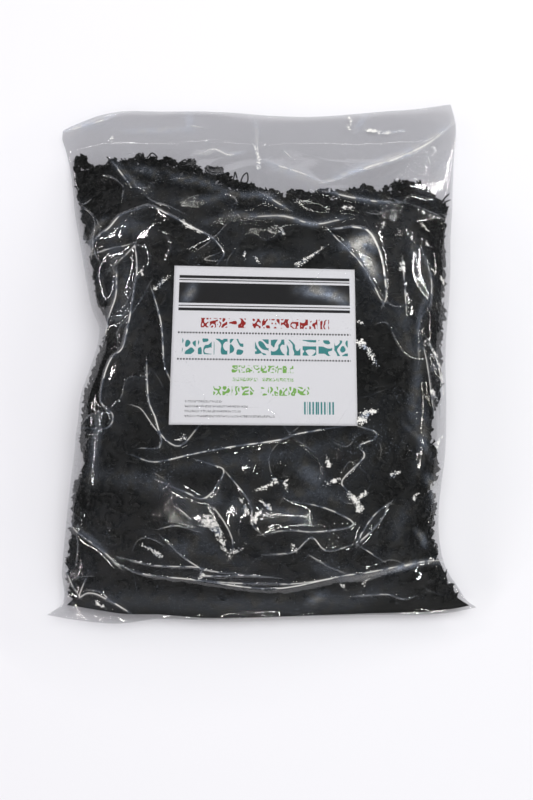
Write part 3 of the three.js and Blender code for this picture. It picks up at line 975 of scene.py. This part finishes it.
def scraps(rng, centre, outward, heading, length, width, thickness, curl, twist):
    """Points and faces of many scraps, in millimetres.

    The path starts along the heading and turns by a random angle at each station, sideways and up and down.
    The section is a flat diamond, which turns about the path by a random angle that adds up.
    """
    count = len(centre)
    side = unit(np.cross(outward, heading))
    yaw = rng.normal(0, 1, (count, STATIONS)) * curl
    lift = rng.normal(0, LIFT_SPREAD, (count, STATIONS)) * curl
    yaw, lift = np.cumsum(yaw, axis=1), lift - lift.mean(1, keepdims=True)
    forward = (np.cos(yaw) * np.cos(lift))[..., None] * heading[:, None]
    forward = forward + (np.sin(yaw) * np.cos(lift))[..., None] * side[:, None]
    forward = forward + np.sin(lift)[..., None] * outward[:, None]
    path = np.cumsum(forward * (length / (STATIONS - 1))[:, None, None], axis=1)
    path += (centre - path.mean(axis=1))[:, None]
    across = unit(np.cross(outward[:, None], forward))
    up = np.cross(forward, across)
    roll = np.cumsum(rng.normal(0, 1, (count, STATIONS)) * twist, axis=1) + rng.uniform(0, 3.1, (count, 1))
    turned_across = across * np.cos(roll)[..., None] + up * np.sin(roll)[..., None]
    turned_up = up * np.cos(roll)[..., None] - across * np.sin(roll)[..., None]
    share = np.linspace(-1, 1, STATIONS)
    swell = (1 - END_TAPER * share ** 4) * rng.uniform(*SWELL, (count, STATIONS))
    half_width = swell * width[:, None] / 2
    half_thick = np.broadcast_to(thickness[:, None] / 2, half_width.shape)
    corners = (path[:, :, None]
               + (half_width[..., None] * CORNER_ACROSS)[..., None] * turned_across[:, :, None]
               + (half_thick[..., None] * CORNER_UP)[..., None] * turned_up[:, :, None])
    k, c = np.meshgrid(np.arange(STATIONS - 1), np.arange(CORNERS), indexing="ij")
    here = (k * CORNERS + c).ravel()
    beside = (k * CORNERS + (c + 1) % CORNERS).ravel()
    walls = np.stack([here, beside, beside + CORNERS, here + CORNERS], axis=-1)
    last = (STATIONS - 1) * CORNERS
    ends = np.array([[3, 2, 1, 0], [last, last + 1, last + 2, last + 3]])
    one = np.concatenate([walls, ends])
    faces = one[None] + (np.arange(count) * STATIONS * CORNERS)[:, None, None]
    return corners.reshape(-1, 3), faces.reshape(-1, 4)


# The ragged top edge, in pixels of the picture
RAGGED = """
76,156 80,155 86,159 93,164 100,162 108,162 113,156 120,160 127,155 133,157 139,154 147,156 152,155 159,159
165,156 178,160 184,160 200,165 202,171 206,166 212,165 226,172 231,178 240,181 255,183 262,187 270,186
277,190 284,194 288,189 296,188 305,190 315,190 325,187 331,189 343,187 352,186 360,184 376,187 391,184
398,180 406,178 411,182 419,180 427,186 434,195 443,204
"""
RAGGED_SPAN = (76, 443)
STRANDS = rows_of("""
232,183 234,177 235,172 237,178
240,184 243,176 247,173 248,179 246,185
440,206 444,199 449,194
445,202 450,200
105,166 109,160 107,157
136,160 139,153 143,157
147,158 152,153 157,157 155,161
""")
STRAND_RADIUS = 0.55
STRAND_DEPTH = 2.4
TOP_DROP = 9.0
GAP_WANDER = 1.3
GAP_LATTICE = (7, 61)
SCRAP_REACH = 2.0
SKIN_DEPTH = 3.2
# Where the card's cover begins, is full, ends and is gone, in pixels across and down the picture
LABEL_ACROSS = (164, 172, 356, 364)
LABEL_DOWN = (258, 266, 426, 434)
# The seaweed stands off the two folds by these gaps, given as row and gap in millimetres
left_gap = curve_through("""
-200,2 -181,2.5 -144,2.5 -107,2 -98,5 -88,9 -81,5 -70,2 -40,2.5 -3,2.5 12,5 27,7.5 42,5 64,6.5 93,4.5
130,2.5 170,2.5
""")
right_gap = curve_through("""
-200,2 -169,2 -153,3 -134,4 -120,2 -105,7 -93,4 -77,7 -62,11 -50,8 -40,4 1,3 40,2.5 80,3 130,2.5 170,2.5
""")
hem_top = curve_through("""
-161,-191 -95,-192 -65,-196 160,-197.5
""")


def content_row(x, share):
    """The row at a share of the way from the bottom of the seaweed to its ragged top."""
    start = hem_top(x)
    return start + (content_top(x) - TOP_DROP - start) * share


def drawn_in(points, row):
    """Points of the skin moved towards the middle of the bag, so that the gaps beside the folds stay free."""
    middle = (left_edge(row) + right_edge(row)) / 2
    half = (right_edge(row) - left_edge(row)) / 2
    gap = np.where(points[..., 0] < middle, left_gap(row), right_gap(row))
    gap = gap + GAP_WANDER * smooth_field(row, points[..., 0] * 0.2, *GAP_LATTICE)
    share = np.abs(points[..., 0] - middle) / half
    inward = np.maximum(gap - SCRAP_REACH, 0) * share ** 3
    moved = points.copy()
    moved[..., 0] -= np.sign(points[..., 0] - middle) * inward
    return moved


def under_label(points):
    """1 where a point lies under the card, 0 well away from it."""
    across, down = pixels_of(points * MM)
    return between(across, *LABEL_ACROSS) * between(down, *LABEL_DOWN)


def scrap_sizes(rng, count, long=1.0):
    """Length, width and thickness of scraps: many short and narrow ones and a few large."""
    length = rng.gamma(*LENGTH_DRAW, count).clip(*LENGTHS) * long
    width = rng.gamma(*WIDTH_DRAW, count).clip(*WIDTHS)
    thickness = rng.uniform(*THICKNESSES, count)
    return length, width, thickness


print(len(RAGGED.split()), "points of the ragged top and", len(STRANDS), "strands")

# %% [markdown]
# Seen through the film the seaweed is nearly black, with a trace of green and brown, and its curled edges
# are a little lighter than its hollows. The finish is a dark base with slow colour change, and fine bumps and
# a dull sheen.

# %% Seaweed finish
HOLLOWS = (0.0035, 0.004, 0.004)
EDGES = (0.011, 0.012, 0.0105)
SLOW_SCALE = 90.0
RIB_SCALE = 900.0


def seaweed_finish(name, lightness):
    """Two dark colours blended by slow noise, with bumps and dullness from fine noise."""
    weed = Finish(name)
    place = weed.node("ShaderNodeTexCoord", output=3)
    slow = weed.noise(place, SLOW_SCALE, 3.0)
    fine = weed.noise(place, RIB_SCALE, 4.0)
    dark, pale = (tuple(lightness * v for v in colour) + (1,) for colour in (HOLLOWS, EDGES))
    colour = weed.blend(slow.ramp(1.6, 0.3), dark, pale)
    bump = weed.node("ShaderNodeBump", Strength=0.5, Distance=0.0004, Height=fine)
    rough = 0.42 + 0.3 * fine
    return weed.finish(weed.node("ShaderNodeBsdfPrincipled", Base_Color=colour, Roughness=rough, Normal=bump))


weed_finish = seaweed_finish("dried_seaweed", 1.0)
# The core's finish is the seaweed's, darkened: painted shade deep in the heap, between the scraps
painted_shade_core_finish = seaweed_finish("seaweed_core", 0.7)
print("finishes", weed_finish.name, "and", painted_shade_core_finish.name)

# %% [markdown]
# Only the outside of the heap shows, so it is made in layers. A dark core takes the form of the bag, a
# little smaller: the seaweed's finish, darkened as painted shade deep in the heap. Scraps that follow the
# skin cover its two faces. More of them stand out along the two side folds and the ragged top, and a few
# thin strands reach from there into the clear film.

# %% Core and scraps
UPPER_SCRAPS = 4300
LOWER_SCRAPS = 3200
RIM_SCRAPS = 4200
SIDE_LIMIT = 0.985
SCRAP_SHARE = (0.02, 0.99)
SCRAP_DEPTH = (2.8, 5.6)
CARD_SINK = 1.6
# The ragged edge wanders. Below it, in pixels: where scraps begin, how far they spread and how they crowd
EDGE_WANDER = 1.2
EDGE_LATTICES = [(9, 62), (4, 63)]
TOP_START = 3.5
TOP_SPREAD = 24
CROWDING = 1.5
MOST_DROP = 14
LEAST_LEFT = 8
# Beside the folds: the band of sides, the share that looks up, the shares of the way along, depth and tilt
FOLD_BAND = 0.07
FOLD_CROWDING = 1.6
UPPER_SHARE = 0.6
FOLD_ALONG = (0.025, 1.0)
FOLD_X = 138.0
RIM_DEPTH = 3.0
FOLD_TILT = 0.5
RIM_LENGTH = 0.85
RIM_WIDTH = 1.45
RIM_WIDTHS = (1.8, 5.0)
RIM_CLEARANCE = 1.6


def seaweed_piece(name, points, faces):
    """One piece of the seaweed from points in millimetres, placed on the body."""
    piece = mesh_object(name, points * MM, faces, weed_finish, smooth=False)
    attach(piece, "root")
    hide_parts("wakame")
    print(name, len(piece.data.polygons) * 2, "triangles")


def face_scraps(seed, rise, count):
    """Scraps spread evenly over one face of the seaweed, sunk a little more under the card."""
    rng = np.random.default_rng(seed)
    side = np.sin(rng.uniform(-1, 1, count) * np.pi / 2 * SIDE_LIMIT) * SIDE_LIMIT
    guess = skin(side, rise, np.zeros(count), 5.0)
    row = content_row(guess[:, 0], rng.uniform(*SCRAP_SHARE, count))
    depth = rng.uniform(*SCRAP_DEPTH, count)
    point = drawn_in(skin(side, rise, row, SKIN_DEPTH), row)
    outward = skin_normal(side, rise, row, SKIN_DEPTH)
    sink = depth - SKIN_DEPTH + (CARD_SINK * under_label(point) if rise > 0 else 0)
    point = point - outward * sink[:, None]
    heading = unit(np.cross(outward, rng.normal(0, 1, (count, 3))))
    return scraps(rng, point, outward, heading, *scrap_sizes(rng, count), curl=0.55, twist=0.5)


def place_at(across, down, depth, height=20.0, rounds=5):
    """Plan and height of what shows at a pixel at a depth under the film, found by going back and forth."""
    for _ in range(rounds):
        plan = plan_of(across, down, height * MM) / MM
        height = height_under_film(plan[..., 0], plan[..., 1], depth)
    return plan, height


def strand(line):
    """One thin strand through pixels of the picture: a square section carried along the rounded line."""
    across, down = rounded(line).T
    height = place_at(across, down, STRAND_DEPTH)[1]
    path = plan_of(across, down, height * MM) / MM
    forward = unit(np.gradient(path, axis=0))
    side = unit(np.cross(forward, [0.0, 0.0, 1.0]))
    up = np.cross(side, forward)
    ring = CORNER_ACROSS[:, None] * side[:, None] + CORNER_UP[:, None] * up[:, None]
    points = (path[:, None] + STRAND_RADIUS * ring).reshape(-1, 3)
    ends = np.array([[0, 1, 2, 3], [len(points) - 1, len(points) - 2, len(points) - 3, len(points) - 4]])
    return points, np.concatenate([ring_faces(len(path), CORNERS)[:, ::-1], ends])


def joined(pieces):
    """Points and faces of several pieces as one, each piece's faces moved on by the points before them."""
    before = np.cumsum([0] + [len(points) for points, _ in pieces[:-1]])
    faces = [faces + start for (_, faces), start in zip(pieces, before)]
    return np.concatenate([points for points, _ in pieces]), np.concatenate(faces)


def top_scraps(rng, count):
    """Scraps of the ragged top edge: each is placed at a pixel below the edge, on the skin at a depth."""
    across = rng.uniform(*RAGGED_SPAN, count)
    edge = curve_through(RAGGED)(across)
    for size, seed in EDGE_LATTICES:
        edge = edge + EDGE_WANDER * smooth_field(across, np.zeros(count), size, seed)
    down = edge + TOP_START + TOP_SPREAD * rng.uniform(0, 1, count) ** CROWDING
    height = place_at(across, down, RIM_DEPTH)[1]
    drop = rng.uniform(0, 1, count) ** CROWDING * np.minimum(MOST_DROP, np.maximum(height - LEAST_LEFT, 0))
    back = plan_of(across, down, (height - drop) * MM) / MM
    outward = np.tile([0.0, 0.25, 1.0], (count, 1)) + rng.normal(0, 0.3, (count, 3))
    return np.stack([back[:, 0], back[:, 1], height - drop], axis=-1), unit(outward)


def rim_scraps(seed, count):
    """Scraps along the two folds and the ragged top edge, some standing out of the heap."""
    rng = np.random.default_rng(seed)
    parts = []
    per_fold = count // 4
    for hand in (-1, 1):
        side = hand * (1 - FOLD_BAND * rng.uniform(0, 1, per_fold) ** FOLD_CROWDING)
        rise = np.where(rng.uniform(0, 1, per_fold) < UPPER_SHARE, 1, -1)
        row = content_row(np.full(per_fold, hand * FOLD_X), rng.uniform(*FOLD_ALONG, per_fold))
        point = drawn_in(skin(side, rise, row, RIM_DEPTH), row)
        outward = unit(skin_normal(side, rise, row, RIM_DEPTH) + np.array([hand * FOLD_TILT, 0, 0]))
        point = point - outward * rng.uniform(0, RIM_DEPTH, per_fold)[:, None]
        parts.append((point, outward))
    parts.append(top_scraps(rng, count - 2 * per_fold))
    point, outward = (np.concatenate(group) for group in zip(*parts))
    heading = unit(np.cross(outward, rng.normal(0, 1, (len(point), 3))))
    length, width, thickness = scrap_sizes(rng, len(point), RIM_LENGTH)
    width = (width * RIM_WIDTH).clip(*RIM_WIDTHS)
    reach = np.maximum(np.abs(heading[:, 0]) * length, width) / 2
    edge = np.where(point[:, 0] < 0, -left_edge(point[:, 1]), right_edge(point[:, 1]))
    beyond = np.abs(point[:, 0]) + reach - edge
    point[:, 0] -= np.sign(point[:, 0]) * np.maximum(beyond + RIM_CLEARANCE, 0)
    heap = scraps(rng, point, outward, heading, length, width, thickness, curl=0.85, twist=0.6)
    return joined([heap] + [strand(line) for line in STRANDS])


CORE_ROWS = 90
CORE_COLUMNS = 120
CORE_DEPTH = 5.6
CORE_SQUARENESS = 0.8
CORE_INSET = 1.2
CORE_START = (-198, -180)
CORE_ROUGHNESS = 0.9
CORE_FLOOR = 2.2
CORE_LEAST = 1.2
LOW_BLUNTING = 40
TOP_BLUNTING = 28


def core_mesh():
    """The heap under the scraps: the bag's own form, set in by a depth and roughened by random fields."""
    turn = np.linspace(0, 2 * np.pi, CORE_COLUMNS, endpoint=False)
    side = np.sign(np.cos(turn)) * np.abs(np.cos(turn)) ** CORE_SQUARENESS
    rise = np.where(np.sin(turn) >= 0, 1, -1)
    share, side = np.meshgrid(np.linspace(0, 1, CORE_ROWS), side, indexing="ij")
    rise = np.broadcast_to(rise, side.shape)
    guess = skin(side, rise, np.zeros_like(side), 8.0)
    row = content_row(guess[..., 0], share)
    depth = 1.0 + (CORE_DEPTH - 1.0) * smooth_step(row, *CORE_START)
    outer = drawn_in(skin(side, rise, row, depth), row)
    inner = drawn_in(skin(side, rise, row, depth + CORE_INSET), row)
    middle = fold_height(row) + flap_wave(inner[..., 0], row)
    blunt = np.minimum(1, np.sqrt(np.minimum(share * LOW_BLUNTING, (1 - share) * TOP_BLUNTING) + 0.02))
    rough = smooth_field(outer[..., 0], row, 9, 51) + 0.6 * smooth_field(outer[..., 0], row, 4, 52)
    least = CORE_LEAST * np.sqrt(np.maximum(0, 1 - side ** 2))
    lift = np.maximum(rise * (outer[..., 2] - middle) * blunt - CORE_ROUGHNESS * np.abs(rough), least)
    points = np.stack([inner[..., 0], inner[..., 1], np.maximum(middle + rise * lift, CORE_FLOOR)], axis=-1)
    faces = ring_faces(CORE_ROWS, CORE_COLUMNS).tolist()
    faces.append(list(range(CORE_COLUMNS)))
    faces.append([(CORE_ROWS - 1) * CORE_COLUMNS + k for k in range(CORE_COLUMNS)][::-1])
    return points.reshape(-1, 3), faces


core_points, core_faces = core_mesh()
core = mesh_object("seaweed_core", core_points * MM, core_faces, painted_shade_core_finish)
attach(core, "root")
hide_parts("wakame")
seaweed_piece("seaweed_upper", *face_scraps(seed=71, rise=1, count=UPPER_SCRAPS))
seaweed_piece("seaweed_lower", *face_scraps(seed=72, rise=-1, count=LOWER_SCRAPS))
seaweed_piece("seaweed_rim", *rim_scraps(seed=73, count=RIM_SCRAPS))

# %% [markdown]
# The card lies under the film and takes the curve of the bag. Its corners are where the picture shows them,
# and every point between them is looked up on the skin, a little below the film. A UV map keeps each
# point's place on the flat card.

# %% The card
# Corners of the card in pixels of the picture: the two at the top, then the two below, from the left
CARD_CORNERS = np.array([[(174.5, 265.6), (354.6, 269.7)], [(168.7, 424.6), (357.6, 425.8)]])
CARD_DEPTH = 1.25
CARD_THICKNESS = 0.4
CARD_HEIGHT = 68.0
CARD_COLUMNS = 60
CARD_ROWS = 52


def card_mesh(material):
    """The card: its four corners blended across and down, on the skin at a depth, with a wall all round."""
    u, v = np.meshgrid(np.linspace(0, 1, CARD_COLUMNS), np.linspace(0, 1, CARD_ROWS), indexing="ij")
    top, low = (left + u[..., None] * (right - left) for left, right in CARD_CORNERS)
    pixel = low + v[..., None] * (top - low)
    plan, height = place_at(pixel[..., 0], pixel[..., 1], CARD_DEPTH, CARD_HEIGHT, rounds=4)
    face = np.stack([plan[..., 0], plan[..., 1], height], axis=-1)
    back = face - np.array([0, 0, CARD_THICKNESS])
    points = np.concatenate([face.reshape(-1, 3), back.reshape(-1, 3)])
    i, j = np.meshgrid(np.arange(CARD_COLUMNS - 1), np.arange(CARD_ROWS - 1), indexing="ij")
    here = (i * CARD_ROWS + j).ravel()
    front = np.stack([here, here + CARD_ROWS, here + CARD_ROWS + 1, here + 1], axis=-1)
    size = CARD_COLUMNS * CARD_ROWS
    rear = front[:, ::-1] + size
    low_side = np.arange(CARD_COLUMNS) * CARD_ROWS
    rim = np.concatenate([low_side, low_side[-1] + np.arange(1, CARD_ROWS),
                          (low_side + CARD_ROWS - 1)[::-1][1:], np.arange(CARD_ROWS - 2, 0, -1)])
    following = np.roll(rim, -1)
    wall = np.stack([rim, rim + size, following + size, following], axis=-1)
    card = mesh_object("card", points * MM, np.concatenate([front, rear, wall]), material)
    flat = np.concatenate([np.stack([u, v], axis=-1).reshape(-1, 2)] * 2)
    loops = np.zeros(len(card.data.loops), int)
    card.data.loops.foreach_get("vertex_index", loops)
    layer = card.data.uv_layers.new(name="card")
    layer.data.foreach_set("uv", flat[loops].ravel())
    return card


print("card of", CARD_COLUMNS, "by", CARD_ROWS, "points on each face")

# %% [markdown]
# The print is worked out from the card's UV map: rules, a black band and plain coloured bars in the places
# of the print on such a card. It carries no words.

# %% Print of the card
BLACK = (0.012, 0.012, 0.013, 1)
CARD_WHITE = (0.87, 0.87, 0.89, 1)
RED = (0.33, 0.012, 0.008, 1)
TEAL = (0.045, 0.26, 0.26, 1)
GREEN = (0.22, 0.48, 0.10, 1)
GREY = (0.12, 0.12, 0.125, 1)
FIBRE_SCALE = 60.0

# Places are shares of the card from its top left: the rules' ends, and each rule's top and bottom
ENDS = (0.03, 0.97)
RULES = [(0.058, 0.076), (0.084, 0.090), (0.103, 0.232), (0.245, 0.251), (0.262, 0.280)]
STROKE_ACROSS = 2.1
STROKE_DOWN = 1.4
STROKE_RATE = 3.0
STROKE_SHARE = 0.46
LETTER_WIDTH = 0.86
LETTER_GAP = 0.14
# Each row of strokes: its colour, its top and bottom, and the left and right end of each stretch
STROKES = [
    (RED, 0.325, 0.385, (0.145, 0.40), (0.43, 0.855)),
    (TEAL, 0.455, 0.555, (0.045, 0.40), (0.44, 0.955)),
    (GREEN, 0.622, 0.668, (0.32, 0.66)),
    (GREEN, 0.700, 0.722, (0.33, 0.47), (0.49, 0.66)),
    (GREEN, 0.755, 0.812, (0.225, 0.45), (0.48, 0.745)),
    (GREY, 0.845, 0.859, (0.08, 0.28)),
    (GREY, 0.876, 0.890, (0.08, 0.42)),
    (GREY, 0.907, 0.921, (0.08, 0.38)),
    (GREY, 0.938, 0.952, (0.08, 0.56)),
]
DASHED_RULES = [(0.413, 0.424), (0.580, 0.591)]
DASHES = 62.0
DASH_SHARE = 0.55
STRIPED_BLOCK = (0.71, 0.88, 0.850, 0.930)
STRIPES = 47.0
STRIPE_BEAT = 19.0


def card_finish():
    """Paper with each rule, stroke and stripe blended over it where the place lies inside its bounds."""
    card = Finish("label_card")
    place = card.node("ShaderNodeUVMap", settings={"uv_map": "card"})
    u = card.node("ShaderNodeSeparateXYZ", output=0, Vector=place)
    v = 1.0 - card.node("ShaderNodeSeparateXYZ", output=1, Vector=place)
    fibre = card.noise(place, FIBRE_SCALE, 4.0)
    colour = card.blend(fibre, CARD_WHITE, tuple(0.94 * c for c in CARD_WHITE[:3]) + (1,))

    def inside(left, right, top, bottom):
        return (u > left) * (u < right) * (v > top) * (v < bottom)

    for top, bottom in RULES:
        colour = card.blend(inside(*ENDS, top, bottom), colour, BLACK)
    for ink, top, bottom, left, right in [(*row[:3], *ends) for row in STROKES for ends in row[3:]]:
        height = bottom - top
        across, down = u / height * STROKE_ACROSS, v / height * STROKE_DOWN
        cell = card.node("ShaderNodeCombineXYZ", X=across, Y=down, Z=top * 9)
        level = card.noise(cell, 1.0, 0.0)
        letter = ((u - left) / (height * LETTER_WIDTH)).fraction() > LETTER_GAP
        stroke = ((level * STROKE_RATE).fraction() < STROKE_SHARE) * letter
        colour = card.blend(inside(left, right, top, bottom) * stroke, colour, ink)
    for top, bottom in DASHED_RULES:
        dashes = ((u * DASHES).fraction() < DASH_SHARE) * inside(*ENDS, top, bottom)
        colour = card.blend(dashes, colour, BLACK)
    stripes = ((u * STRIPES + (u * STRIPE_BEAT).fraction() * 0.5).fraction() < 0.5) * inside(*STRIPED_BLOCK)
    colour = card.blend(stripes, colour, TEAL)
    shader = card.node("ShaderNodeBsdfPrincipled", Base_Color=colour, Roughness=0.5 + 0.1 * fibre)
    return card.finish(shader)


card = card_mesh(card_finish())
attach(card, "root")
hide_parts("label_card")
print("card", len(card.data.polygons), "faces")

# %% [markdown]
# The floor is a pale sheet, and the light is soft. A ring of long thin lamps, all at the same distance,
# draws crisp lines on the creases, beside the bright lines painted along their crests, and a large one
# lights the rest. The surroundings stay dim, because the film mirrors them over the dark heap.

# %% Floor, lamps and surroundings
FLOOR_HALF = 4
FLOOR_COLOUR = (0.80, 0.80, 0.825, 1)
floor_mesh = bpy.data.meshes.new("floor")
floor_corners = [(x * FLOOR_HALF, y * FLOOR_HALF, 0) for x, y in ((-1, -1), (1, -1), (1, 1), (-1, 1))]
floor_mesh.from_pydata(floor_corners, [], [(0, 1, 2, 3)])
floor = bpy.data.objects.new("floor", floor_mesh)
bpy.context.scene.collection.objects.link(floor)
ground = Finish("floor")
floor_mesh.materials.append(ground.finish(ground.node("ShaderNodeBsdfDiffuse", Color=FLOOR_COLOUR)))


LAMP_AIM = np.array([0.0, 0.0, 0.03])


def lamp(name, place, size, power, colour):
    """A rectangular lamp that faces the middle of the bag."""
    data = bpy.data.lights.new(name, "AREA")
    data.shape = "RECTANGLE"
    data.size, data.size_y = size
    data.energy = power
    data.color = colour
    thing = bpy.data.objects.new(name, data)
    thing.location = place
    away = np.array(place) - LAMP_AIM
    thing.rotation_euler = (math.atan2(math.hypot(away[0], away[1]), away[2]), 0,
                            math.atan2(away[0], -away[1]))
    bpy.context.scene.collection.objects.link(thing)
    return thing


# Each lamp: turn from the bag's top towards its right, angle off the plumb line, width, height, watts, tint
LAMP_DISTANCE = 1.5
FILL_PLACE = (0.25, 0.3, 1.7)
FILL_SIZE = (1.6, 1.6)
FILL_POWER = 28.7
FILL_TINT = (0.985, 0.985, 1.0)
LAMPS = [
    ("tube_key", 44, 64, 1.0, 0.012, 4.6, (1.0, 0.98, 0.96)),
    ("tube_top", 358, 62, 1.0, 0.012, 0.5, (1.0, 1.0, 0.95)),
    ("tube_right", 95, 60, 0.9, 0.012, 1.2, (1.0, 0.97, 0.90)),
    ("tube_low_right", 140, 68, 0.8, 0.012, 2.8, (0.97, 0.98, 1.0)),
    ("tube_low", 182, 43, 0.9, 0.012, 2.6, (1.0, 0.98, 0.93)),
    ("tube_low_left", 224, 68, 0.8, 0.012, 2.8, (1.0, 0.91, 0.95)),
    ("tube_left", 268, 60, 0.9, 0.012, 1.7, (0.95, 0.98, 1.0)),
    ("tube_high_left", 316, 58, 0.9, 0.012, 3.2, (1.0, 0.94, 0.96)),
    ("tube_far_right", 70, 74, 0.9, 0.012, 1.2, (1.0, 0.99, 0.92)),
    ("tube_far_left", 292, 74, 0.9, 0.012, 1.4, (1.0, 0.95, 0.97)),
    ("spot_low", 185, 18, 0.06, 0.04, 0.4, (1.0, 1.0, 1.0)),
    ("soft_left", 270, 64, 0.8, 0.25, 0.35, (0.88, 0.94, 1.0)),
]

for name, turn, tilt, wide, high, power, tint in LAMPS:
    across = LAMP_DISTANCE * math.sin(math.radians(tilt))
    lamp(name, (across * math.sin(math.radians(turn)), across * math.cos(math.radians(turn)),
                LAMP_DISTANCE * math.cos(math.radians(tilt))), (wide, high), power, tint)

# The large soft fill stands out of the film's sight: its own reflection would hide the seaweed
fill = lamp("fill", FILL_PLACE, FILL_SIZE, FILL_POWER, FILL_TINT)
fill.visible_glossy = False
print(len(LAMPS) + 1, "lamps")

WORLD_STRENGTH = 0.07
WORLD_COLOUR = (0.96, 0.97, 1.0, 1)
world = bpy.data.worlds.new("surroundings")
world.use_nodes = True
world.node_tree.nodes["Background"].inputs[0].default_value = WORLD_COLOUR
world.node_tree.nodes["Background"].inputs[1].default_value = WORLD_STRENGTH
bpy.context.scene.world = world
bpy.context.scene.view_settings.view_transform = "Standard"
